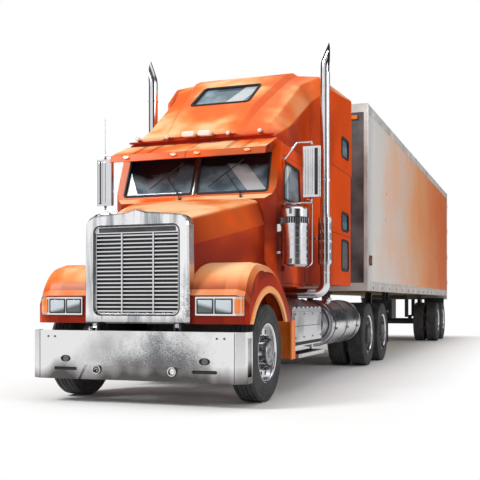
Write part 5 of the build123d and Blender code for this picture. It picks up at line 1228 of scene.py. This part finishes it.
class TRUCK_OT_cab_seams(bpy.types.Operator):
    """Dark joints between the shells, door handles and grab rails"""

    bl_idname = "truck.cab_seams"
    bl_label = "Cab Seams"

    def execute(self, context):
        for side, name in SIDES:
            wall, wide = side * (CAB_SIDE + 0.0005), side * (SLEEPER_SIDE + 0.0005)
            corners = ((wall, 1.86), (wall, 3.19), (wide, 3.47), (wide, 4.78))
            roofline = tube("roofline", [(x, along(place), 2.96) for x, place in corners], 0.004, 6, 0.05)
            upright = tube("upright", [(wall, along(2.82), 1.3), (wall, along(2.82), 2.955)], 0.004, 6)
            low = tube("low", [(wide, along(3.5), 2.03), (wide, along(4.78), 2.03)], 0.0035, 6)
            finish(f"cab_joints_{name}", "tractor", "shadow black", "paint", roofline, upright, low)
            face = side * (CAB_SIDE + 0.004)
            plate = slab("plate", about(face, 0.005), (2.50, 2.62), (2.02, 2.09), 0.004)
            paddle = slab("paddle", (face + side * 0.002, face + side * 0.014), (2.515, 2.605), (2.045, 2.078), 0.005)
            finish(f"door_handle_{name}", f"cab_door_{name}", "bright chrome", "chrome", plate, paddle)
            near, far = side * CAB_SIDE, side * (CAB_SIDE + 0.07)
            corners = ((near, 1.52), (far, 1.56), (far, 2.36), (near, 2.40))
            grab = tube("grab", [(x, along(GRAB_AT), z) for x, z in corners], 0.0125, 12, 0.03)
            finish(f"grab_rail_{name}", "tractor", "bright chrome", "chrome", grab)
        return {"FINISHED"}


class TRUCK_OT_visor(bpy.types.Operator):
    """Pressed ribs and the centre joint of the sun visor, painted shade in the grooves between the ribs, and the lamps
    round it
    """

    bl_idname = "truck.visor"
    bl_label = "Visor and Roof Lamps"

    def execute(self, context):
        (near, low), (far, high) = VISOR_FOOT, VISOR_TIP
        out = Vector((0, low - high, far - near)).normalized() * 0.0005
        start = along(near + 0.03)
        ribs = [tube("rib", [(x + shift, start, low + 0.012), (x + shift * 1.4, along(far), high)], 0.0055, 6)
                for x in VISOR_RIBS for shift in (-0.02, 0.02)]
        finish("visor_ribs", "tractor", "roof orange", "paint", *ribs)
        seam = tube("seam", [Vector((0, along(near), low)) - out, Vector((0, along(far), high)) - out], 0.0035, 6)
        lip = tube("lip", [(0, along(1.3165), 2.756), (0, along(near - 0.004), low)], 0.0035, 6)
        # Dark red lines in the grooves between each pair of ribs are painted shade
        grooves = [tube("groove", [(x, start, low + 0.0115), (x, along(far), high - 0.0005)], 0.0028, 6)
                   for x in VISOR_RIBS]
        finish("visor_joint", "tractor", "deep seam", "paint", seam, lip, *grooves)
        self.lamps()
        return {"FINISHED"}

    def lamps(self):
        """White oblong lamps, and chrome bullet shells with white fronts."""
        for side, name in SIDES:
            outline = [(side * 0.105 + u, along(1.7165), 3.10 + v) for u, v in rounded(0.174, 0.066, 0.0325, 8)]
            lens = sheet("lens", outline[::-1], 0.072, 0.012, 3)
            finish(f"oblong_lamp_{name}", "tractor", "white lens", "lamp", lens)
        shells, fronts = [], []
        for x in ROOF_LAMPS:
            centre = (x, along(1.676), 3.086)
            shells.append(lathe("shell", BULLET_SHELL, centre, "Y", 24))
            fronts.append(lathe("front", BULLET_FRONT, centre, "Y", 24))
            shells.append(slab("foot", about(x, 0.012), (1.70, 1.75), (3.062, 3.075), 0.002))
        finish("bullet_shells", "tractor", "bright chrome", "chrome", *shells)
        finish("bullet_fronts", "tractor", "white lens", "amber_lamp", *fronts)


class TRUCK_OT_mirrors(bpy.types.Operator):
    """Pressed ribs, glass and clamps of the mirrors"""

    bl_idname = "truck.mirrors"
    bl_label = "Mirrors"

    def execute(self, context):
        front, back = about(MIRROR_AT, 0.025)
        for side, name in SIDES:
            x = side * MIRROR_X
            body = f"cab_door_{name}"
            ribs = [slab("rib", about(x + u, half), (front - 0.006, front + 0.002), (2.335, 2.865), 0.003)
                    for u, half in ((-0.078, 0.012), (-0.04, 0.008), (0.005, 0.012))]
            finish(f"mirror_ribs_{name}", body, "bright chrome", "chrome", *ribs)
            dark = slab("dark", about(x + side * 0.062, 0.02), (front - 0.0025, front + 0.002), (2.325, 2.875), 0.001)
            finish(f"mirror_band_{name}", body, "shadow black", "chrome", dark)
            glass = [slab("pane", about(x, 0.095), (back - 0.001, back + 0.003), heights, 0.001)
                     for heights in ((2.50, 2.885), (2.325, 2.48))]
            finish(f"mirror_glass_{name}", body, "mirror face", "glass", *glass)
            rims = []
            for low, high in ((2.49, 2.892), (2.312, 2.486)):
                loop = [(x + u, along(back), (low + high) / 2 + v) for u, v in rounded(0.212, high - low, 0.02)]
                rims.append(rim_strip("rim", loop, 0.012, 0.006, (0, 1, 0)))
            finish(f"mirror_rims_{name}", body, "rubber seal", "trim", *rims)
            clamps = [drum("clamp", *((x, along(MIRROR_AT), end) for end in about(z, 0.014)), 0.017, 16, 0.003)
                      for z in (2.29, 2.91)]
            finish(f"mirror_clamps_{name}", body, "nut steel", "chrome", *clamps)
        return {"FINISHED"}


def cushion(name, low, high):
    """A crowned closed pad with two pressed channels, whose sides pull in between its corners."""
    low, high = Vector(low), Vector(high)
    half = (high - low) / 2
    rest()
    bpy.ops.mesh.primitive_cube_add(size=2, location=(0, 0, 0))
    pad = bpy.context.object
    only(pad)
    bpy.ops.object.mode_set(mode="EDIT")
    bpy.ops.mesh.select_all(action="SELECT")
    bpy.ops.mesh.subdivide(number_cuts=7)
    bpy.ops.object.mode_set(mode="OBJECT")
    for vertex in pad.data.vertices:
        x, y, z = vertex.co
        pull = 1 - 0.06 * (1 - y ** 2) * abs(x) ** 3
        rise = 1.0
        if z > 0:
            rise = (1 + 0.5 * (1 - x ** 2) * (1 - y ** 2)) * (1 - 0.18 * math.exp(-((abs(x) - 0.5) / 0.08) ** 2))
        vertex.co = Vector((x * half.x * pull, y * half.y * (1 - 0.04 * (1 - x ** 2)), z * half.z * rise))
    modify(pad, "SUBSURF", levels=2, render_levels=2)
    pad.location = (low + high) / 2
    return smooth(settle(pad, name), 60)


class TRUCK_OT_seats(bpy.types.Operator):
    """Padded seat and back cushions on both seats"""

    bl_idname = "truck.seats"
    bl_label = "Seats"

    def execute(self, context):
        for side, name in SIDES:
            x = side * SEAT_X
            seat = cushion("seat", (x - 0.255, along(2.225), 1.765), (x + 0.255, along(2.64), 1.855))
            back = cushion("back", (-0.245, -0.32, -0.045), (0.245, 0.32, 0.045))
            lean = Matrix.Rotation(math.radians(98.2), 4, "X")
            back.matrix_world = Matrix.Translation((x, along(2.625), 2.125)) @ lean
            for title, pad in (("seat", seat), ("back", settle(back))):
                piece = finish(f"{title}_cushion_{name}", "tractor", "seat cloth", "trim", pad)
                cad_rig.padded(piece, fill=0.7)
        boss = drum("boss", (SEAT_X, along(2.048), 2.134), (SEAT_X, along(2.072), 2.152), 0.05, 24, 0.006)
        finish("wheel_boss", "tractor", "dash plastic", "trim", boss)
        return {"FINISHED"}


# Sides: stack clamps, air cleaner fittings, tank and step box fittings, mud flaps

STACK_X, STACK_AT = 1.25, 3.06
PIPE_BAND = ((0.066, -0.014), (0.070, -0.012), (0.0705, 0.012), (0.066, 0.014))
SHIELD_BANDS = (1.59, 1.86, 2.14)
CLEANER_X, CLEANER_AT = 1.235, 1.665
INTAKE = ((0.1575, 1.955), (0.1605, 1.958), (0.1605, 2.036), (0.1575, 2.04))
TANK_X, TANK_Z, TANK_R = 0.885, 0.76, 0.325
STRAPS = (3.87, 4.59, 5.31)
COVER_X, BOX_X, TREAD_EDGE_X = 1.165, 1.1515, 1.2265


def hoop(name, centre, place, half, inner, outer, edge, axis="Z", steps=40):
    """A raised band round an axis, chamfered by edge at both sides."""
    low, high = about(place, half)
    return lathe(name, ((inner, low), (outer, low + edge), (outer, high - edge), (inner, high)), centre, axis, steps)


class TRUCK_OT_stacks(bpy.types.Operator):
    """Clamps of the exhaust stacks, and black pieces for the painted shade in the heat shield's slots"""

    bl_idname = "truck.stacks"
    bl_label = "Exhaust Stacks"

    def execute(self, context):
        # Black blocks in the heat shield's slots stand for the painted shade inside them
        cut = block("slot", (0.0905, -0.008, -0.045), (0.0945, 0.008, 0.045), 0.0018, 1)
        rows = row(ring_copies(cut, 12, (0, 0, 0), "Z"), 4, (0, 0, 0.13))
        for side, name in SIDES:
            x = side * STACK_X
            slots = twin(rows, (x, along(STACK_AT), 1.66))
            finish(f"shield_slots_{name}", "tractor", "shadow black", "chrome", slots)
            bands = [lathe("band", PIPE_BAND, (x, along(STACK_AT), z), "Z", 40) for z in (1.45, 2.20, 2.66, 3.9)]
            bands += [hoop("band", (x, along(STACK_AT), z), 0, 0.016, 0.093, 0.097, 0.003) for z in SHIELD_BANDS]
            bolt_at = along(STACK_AT - 0.095)
            bands += [drum("bolt", (x - 0.03, bolt_at, z), (x + 0.03, bolt_at, z), 0.008, 8, 0.002)
                      for z in (*SHIELD_BANDS, 2.66)]
            finish(f"stack_bands_{name}", "tractor", "stack chrome", "chrome", *bands)
        bpy.data.objects.remove(rows)
        return {"FINISHED"}


class TRUCK_OT_air_cleaners(bpy.types.Operator):
    """Black band of painted shade behind the intake fins, the fins, latches and cap rings of the air cleaners"""

    bl_idname = "truck.air_cleaners"
    bl_label = "Air Cleaners"

    def execute(self, context):
        for side, name in SIDES:
            x = side * CLEANER_X
            centre = (x, along(CLEANER_AT), 0)
            # A black band behind the fins, as painted shade inside the intake
            intake = lathe("intake", INTAKE, centre, "Z", 48)
            finish(f"intake_band_{name}", "tractor", "shadow black", "chrome", intake)
            fin = block("fin", (0.158, -0.0025, 1.962), (0.1645, 0.0025, 2.032), 0.001, 1)
            fins = ring_copies(fin, 36, (0, 0, 0), "Z")
            fins.location = centre
            finish(f"intake_fins_{name}", "tractor", "bright chrome", "chrome", settle(fins))
            rings = [hoop("ring", centre, z, 0.006, 0.159, 0.168, 0.002, steps=48) for z in (1.56, 1.72, 1.80, 1.88)]
            rings.append(lathe("knob", ((0.02, 2.185), (0.02, 2.2), (0.0, 2.203)), centre, "Z", 20))
            finish(f"cleaner_rings_{name}", "tractor", "stack chrome", "chrome", *rings)
            latches = [slab("latch", about(x, 0.014), (CLEANER_AT - 0.176, CLEANER_AT - 0.163), (z, z + 0.06), 0.003)
                       for z in (1.50, 2.07)]
            finish(f"cleaner_latches_{name}", "tractor", "nut steel", "chrome", *latches)
        return {"FINISHED"}


class TRUCK_OT_tanks(bpy.types.Operator):
    """Strap bolts, seams and fillers of the tanks, covers and treads of the step boxes"""

    bl_idname = "truck.tanks"
    bl_label = "Tanks and Steps"

    def execute(self, context):
        for side, name in SIDES:
            x = side * TANK_X
            bolts = []
            for place in STRAPS:
                for angle in (28, -12):
                    out = Vector((side * math.cos(math.radians(angle)), 0, math.sin(math.radians(angle))))
                    at = Vector((x, along(place), TANK_Z)) + out * (TANK_R + 0.012)
                    bolts.append(drum("bolt", at, at + out * 0.014, 0.017, 10, 0.003))
            finish(f"strap_bolts_{name}", "tractor", "nut steel", "polished", *bolts)
            axis = (x, BUMPER_FACE, TANK_Z)
            inner = TANK_R + 0.001
            strips = [hoop("rubber", axis, place, 0.038, inner, inner + 0.005, 0.002, "Y", 56) for place in STRAPS]
            finish(f"strap_rubbers_{name}", "tractor", "rubber seal", "polished", *strips)
            seams = [lathe("seam", ((inner, low), (inner + 0.0025, (low + high) / 2), (inner, high)), axis, "Y", 56)
                     for low, high in (about(3.66, 0.004), about(5.52, 0.004))]
            foot = Vector((x + side * 0.10, along(4.2), 1.065))
            top, end = foot + Vector((side * 0.02, 0, 0.045)), foot + Vector((side * 0.028, 0, 0.064))
            cap = [drum("neck", foot, top, 0.055, 28, 0.004), drum("cap", top, end, 0.062, 28, 0.006)]
            finish(f"tank_filler_{name}", "tractor", "stack chrome", "polished", *seams, *cap)
            self.steps(side, name)
        return {"FINISHED"}

    def steps(self, side, name):
        """Cover bolts, tread holes filled with painted shade, the cover's joint line and a painted shadow below the
        cover, on a step box.
        """
        near, far = side * (COVER_X - 0.004), side * (COVER_X + 0.006)
        bolts = [drum("bolt", (near, along(place), z), (far, along(place), z), 0.011, 8, 0.002)
                 for place in (1.96, 2.34, 2.76, 3.15) for z in (0.63, 0.915)]
        finish(f"cover_bolts_{name}", "tractor", "nut steel", "polished", *bolts)
        line = slab("line", about(side * (COVER_X + 0.0005), 0.002), (1.94, 3.17), (0.765, 0.771), 0.001, 1)
        # A dark strip on the box just below the cover is a painted shadow of the cover's edge
        shade = slab("shade", about(side * BOX_X, 0.0015), (1.87, 3.24), (0.535, 0.575), 0.001, 1)
        finish(f"cover_joint_{name}", "tractor", "shadow black", "polished", line, shade)
        # Black slots in the tread plate are painted shade in its holes
        hole = slab("hole", (side * 1.03, side * 1.2), (1.93, 1.955), (0.4385, 0.4425), 0.0015, 1)
        finish(f"tread_holes_{name}", "tractor", "shadow black", "polished", row(hole, 19, (0, 0.061, 0)))
        lips = [slab("lip", about(side * TREAD_EDGE_X, 0.003), (1.89, 3.09), (z, z + 0.008), 0.002, 1)
                for z in (0.400, 0.427)]
        finish(f"tread_edge_{name}", "tractor", "stack chrome", "polished", *lips)


class TRUCK_OT_drive_flaps(bpy.types.Operator):
    """Mud flaps behind the drive wheels"""

    bl_idname = "truck.drive_flaps"
    bl_label = "Drive Mud Flaps"

    def execute(self, context):
        for side, name in SIDES:
            hanger = slab("hanger", (side * 0.42, side * 1.2), (8.16, 8.2), (0.86, 0.90), 0.006)
            finish(f"flap_hanger_{name}", "tractor", "bare steel", "chassis", hanger)
            flap = slab("flap", (side * 0.58, side * 1.2), (8.172, 8.182), (0.30, 0.885), 0.003)
            for vertex in flap.data.vertices:
                hang = max(0.0, 0.86 - vertex.co.z)
                vertex.co.y += 0.05 * hang ** 2 + 0.006 * math.sin(9 * vertex.co.x) * hang
            finish(f"drive_flap_{name}", "tractor", "mud flap", "chassis", flap)
        return {"FINISHED"}


# Trailer: panel joints, rivets, lamps, door gaskets and lock handles

TRAILER_NOSE, TRAILER_TAIL = 5.69, 17.88
WALL_X, RAIL_X = 1.287, 1.295
PANEL_START, PANEL_PITCH, PANELS = 0.7, 1.22, 9
RAIL_ROWS = ((1.375, 0.12), (1.262, 0.12), (4.15, 0.12), (4.24, 0.24))
TAIL_LENS = ((0.0, 0.026), (0.03, 0.0245), (0.05, 0.018), (0.054, 0.010))
TAIL_RIM = ((0.0545, 0.0), (0.064, 0.0), (0.064, 0.012), (0.0545, 0.015))
TAIL_LAMPS = (0.82, 0.96, 1.10)
TAIL_LAMP_Z = 1.25


class TRUCK_OT_trailer_skin(bpy.types.Operator):
    """Panel joints and rivets on the trailer's walls and rails"""

    bl_idname = "truck.trailer_skin"
    bl_label = "Trailer Skin"

    def execute(self, context):
        for side, name in SIDES:
            strip = slab("strip", about(side * WALL_X, 0.002), about(TRAILER_NOSE + PANEL_START, 0.018), (1.405, 4.125),
                         0.001, 1)
            strips = row(strip, PANELS, (0, PANEL_PITCH, 0))
            finish(f"panel_joints_{name}", "trailer", "trailer wall", "trailer_skin", strips)
            rails = [self.rivets(side, z, step) for z, step in RAIL_ROWS]
            finish(f"rail_rivets_{name}", "trailer", "bare steel", "trailer_rail", *rails)
            posts = [slab("post", about(side * (RAIL_X + 0.0005), 0.003), (TRAILER_NOSE + near, TRAILER_NOSE + far),
                          (1.26, 4.25), 0.002, 1) for near, far in ((0.012, 0.03), (0.045, 0.056))]
            finish(f"post_beads_{name}", "trailer", "bright chrome", "trailer_rail", *posts)
            loop = [(side * 1.3, along(TRAILER_NOSE + 0.255 + u), 1.74 + v) for u, v in rounded(0.19, 0.16, 0.015)]
            edge = rim_strip("marker frame", loop, 0.022, 0.006, (side, 0, 0))
            finish(f"marker_frame_{name}", "trailer", "shadow black", "amber_lamp", edge)
        return {"FINISHED"}

    def rivets(self, side, height, step):
        """One row of rivets along a rail."""
        rest()
        bpy.ops.mesh.primitive_cone_add(vertices=6, radius1=0.009, radius2=0.005, depth=0.004,
                                        location=(side * (RAIL_X + 0.001), along(TRAILER_NOSE + 0.12), height),
                                        rotation=(0, side * math.pi / 2, 0))
        count = int((TRAILER_TAIL - TRAILER_NOSE - 0.2) / step)
        return row(settle(bpy.context.object, "rivet"), count, (0, step, 0))


class TRUCK_OT_trailer_rear(bpy.types.Operator):
    """Gaskets, lock handles and lamps on the trailer's rear"""

    bl_idname = "truck.trailer_rear"
    bl_label = "Trailer Rear"

    def execute(self, context):
        for side, name in SIDES:
            loop = [(side * (0.6225 + u), along(TRAILER_TAIL - 0.001), 2.7675 + v)
                    for u, v in rounded(1.22, 2.76, 0.012, 2)][::side]
            gasket = rim_strip("gasket", loop, 0.02, 0.006, (0, 1, 0))
            finish(f"cargo_gasket_{name}", f"cargo_{name}", "rubber seal", "trailer_skin", gasket)
            self.locks(side, name)
            lenses, rims = [], []
            for x in TAIL_LAMPS:
                centre = (side * x, along(TRAILER_TAIL), TAIL_LAMP_Z)
                lenses.append(lathe("lens", TAIL_LENS, centre, "Y", 28))
                rims.append(lathe("rim", TAIL_RIM, centre, "Y", 28, closed=True))
            finish(f"tail_lenses_{name}", "trailer", "red lens", "amber_lamp", *lenses)
            finish(f"tail_rims_{name}", "trailer", "rubber seal", "amber_lamp", *rims)
        return {"FINISHED"}

    def locks(self, side, name):
        """Clamps, handles, catches and cams of a door's two lock rods."""
        rod_at = TRAILER_TAIL + 0.016
        fittings = []
        for x, z in ((0.33, 2.38), (0.90, 2.30)):
            for title, across, lengths, half in (
                    ("clamp", about(side * x, 0.02), (rod_at - 0.015, rod_at + 0.014), 0.03),
                    ("handle", (side * x, side * (x + 0.27)), (rod_at + 0.002, rod_at + 0.013), 0.012),
                    ("catch", (side * (x + 0.2), side * (x + 0.26)), (TRAILER_TAIL, rod_at + 0.006), 0.035)):
                fittings.append(slab(title, across, lengths, about(z, half), 0.004))
            fittings += [slab("cam", about(side * x, 0.034), (TRAILER_TAIL, rod_at + 0.013), about(end, 0.03), 0.005)
                         for end in (1.415, 4.12)]
        finish(f"lock_handles_{name}", f"cargo_{name}", "bare steel", "chassis", *fittings)


# Studio: floor, lamps, surroundings and camera

# Each row is (name, place, aim, size, power for each square metre of distance); the key's power is a setting
LAMPS = (("key", (-14, -22, 18), (0, -5, 1.5), 9, None), ("fill", (20, -12, 10), (0, -3, 1.5), 12, 0.5),
         ("top", (4, 2, 22), (0, 0, 0), 16, 0.55))
LAMP_GAIN = 3.2
HALF_WIDTH, HALF_LENGTH = 1.2, 8.9
CAMERA_PLACE, CAMERA_TURN, CAMERA_SHIFT = (3.915, -16.58, 1.068), 19.843, 0.128


class TRUCK_OT_studio(bpy.types.Operator):
    """Builds the pale floor, the soft lamps and the camera"""

    bl_idname = "truck.studio"
    bl_label = "Studio"

    def execute(self, context):
        studio = settings()[2]
        self.floor(studio)
        self.light(studio)
        self.camera(studio)
        context.scene.view_settings.view_transform = "Standard"
        return {"FINISHED"}

    def floor(self, studio):
        """A pale floor that fades into the backdrop away from the truck."""
        rest()
        bpy.ops.mesh.primitive_plane_add(size=160, location=(0, 0, -0.001))
        floor = bpy.context.object
        only(floor)
        bpy.ops.object.mode_set(mode="EDIT")
        bpy.ops.mesh.subdivide(number_cuts=4)
        bpy.ops.object.mode_set(mode="OBJECT")
        settle(floor, "studio_floor")
        graph, shader = start("studio floor")
        graph.fill(shader, {"Base Color": (0.86, 0.86, 0.86), "Roughness": 0.9})
        x, y, z = graph.split(graph.place())
        past_side = graph.larger(graph.minus(graph.absolute(x), HALF_WIDTH), 0.0)
        past_end = graph.larger(graph.minus(graph.absolute(y), HALF_LENGTH), 0.0)
        reach = graph.math("SQRT", graph.plus(graph.squared(past_side), graph.squared(past_end)))
        ray = graph.node("LightPath").outputs
        seen = graph.larger(graph.larger(ray["Is Camera Ray"], ray["Is Glossy Ray"]), ray["Is Transmission Ray"])
        white = graph.node("Emission")
        graph.fill(white.inputs, {"Color": studio.backdrop})
        made = graph.tree.nodes
        graph.blend(graph.times(graph.remap(reach, 0.1, 1.7), seen), made["Principled BSDF"].outputs[0],
                    white.outputs[0], made["Material Output"].inputs["Surface"])
        floor.data.materials.append(bpy.data.materials["studio floor"])
        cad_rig.stage(floor)

    def light(self, studio):
        """A soft key from the front left of the picture, a weak fill and a white surround for camera and gloss."""
        world = bpy.context.scene.world or bpy.data.worlds.new("studio")
        bpy.context.scene.world = world
        world.use_nodes = True
        world.node_tree.nodes.clear()
        graph = Graph(world.node_tree)
        sky, seen = graph.node("Background"), graph.node("Background")
        graph.fill(sky.inputs, {"Color": self.room(graph), "Strength": studio.world})
        graph.fill(seen.inputs, {"Color": studio.backdrop, "Strength": 1.0})
        ray = graph.node("LightPath").outputs
        graph.blend(graph.larger(ray["Is Camera Ray"], ray["Is Transmission Ray"]), sky.outputs[0], seen.outputs[0],
                    graph.node("OutputWorld").inputs[0])
        for name, place, aim, size, power in LAMPS:
            way = Vector(aim) - Vector(place)
            lamp = bpy.data.lights.new(name, "AREA")
            lamp.shape = "DISK"
            lamp.size = size
            lamp.energy = (power or studio.key) * way.length ** 2 * LAMP_GAIN
            rig = bpy.data.objects.new(name, lamp)
            rig.location = place
            rig.rotation_mode = "QUATERNION"
            rig.rotation_quaternion = way.to_track_quat("-Z", "Y")
            bpy.context.collection.objects.link(rig)

    def room(self, graph):
        """What metal sees: a white room with dark upright flags and a dark band overhead."""
        x, y, z = graph.split(graph.node("TexCoord").outputs["Generated"])
        heading = graph.math("ARCTAN2", x, graph.times(y, -1.0))
        flags = graph.remap(graph.math("COSINE", graph.times(graph.plus(heading, 0.35), 3.0)), -0.75, 0.1)
        shade = graph.times(flags, graph.remap(graph.off(z, 0.55), 0.1, 0.22))
        dark = graph.mix(shade, (0.03, 0.035, 0.04), (1.75, 1.75, 1.78))
        return graph.mix(graph.node("LightPath").outputs["Is Glossy Ray"], (1.0, 0.98, 0.96), dark)

    def camera(self, studio):
        """A level camera at the photograph's angle."""
        lens = bpy.data.cameras.new("view")
        lens.sensor_width = 36
        lens.lens = studio.lens
        lens.shift_y = CAMERA_SHIFT
        lens.clip_end = 400
        camera = bpy.data.objects.new("view", lens)
        camera.location = CAMERA_PLACE
        camera.rotation_euler = (math.radians(90), 0, math.radians(CAMERA_TURN))
        bpy.context.collection.objects.link(camera)
        bpy.context.scene.camera = camera


# The add-on: its steps in the order of this file, its panel and its settings

STEPS = [step for step in dict(globals()).values() if isinstance(step, type) and issubclass(step, bpy.types.Operator)]


class TRUCK_PT_panel(bpy.types.Panel):
    """Lists the settings and the steps in the sidebar"""

    bl_label = "Truck"
    bl_space_type = "VIEW_3D"
    bl_region_type = "UI"
    bl_category = "Truck"

    def draw(self, context):
        for group in settings():
            for key in group.bl_rna.properties.keys():
                if key not in ("rna_type", "name"):
                    self.layout.prop(group, key)
        for step in STEPS:
            self.layout.operator(step.bl_idname)


GROUPS = (PaintSettings, WheelSettings, StudioSettings)
SLOTS = ("truck_paint", "truck_wheels", "truck_studio")


def register():
    for kind in (*GROUPS, *STEPS, TRUCK_PT_panel):
        bpy.utils.register_class(kind)
    for kind, slot in zip(GROUPS, SLOTS):
        setattr(bpy.types.Scene, slot, PointerProperty(type=kind))


def unregister():
    for slot in SLOTS:
        delattr(bpy.types.Scene, slot)
    for kind in reversed((*GROUPS, *STEPS, TRUCK_PT_panel)):
        bpy.utils.unregister_class(kind)


def main():
    register()
    for step in STEPS:
        group, name = step.bl_idname.split(".")
        getattr(getattr(bpy.ops, group), name)()
    with open("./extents.json", "w") as out:
        json.dump({"cad": [list(v) for v in CAD_BOX], "visual": [list(v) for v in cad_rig.bounds()]}, out)


if __name__ == "__main__":
    main()
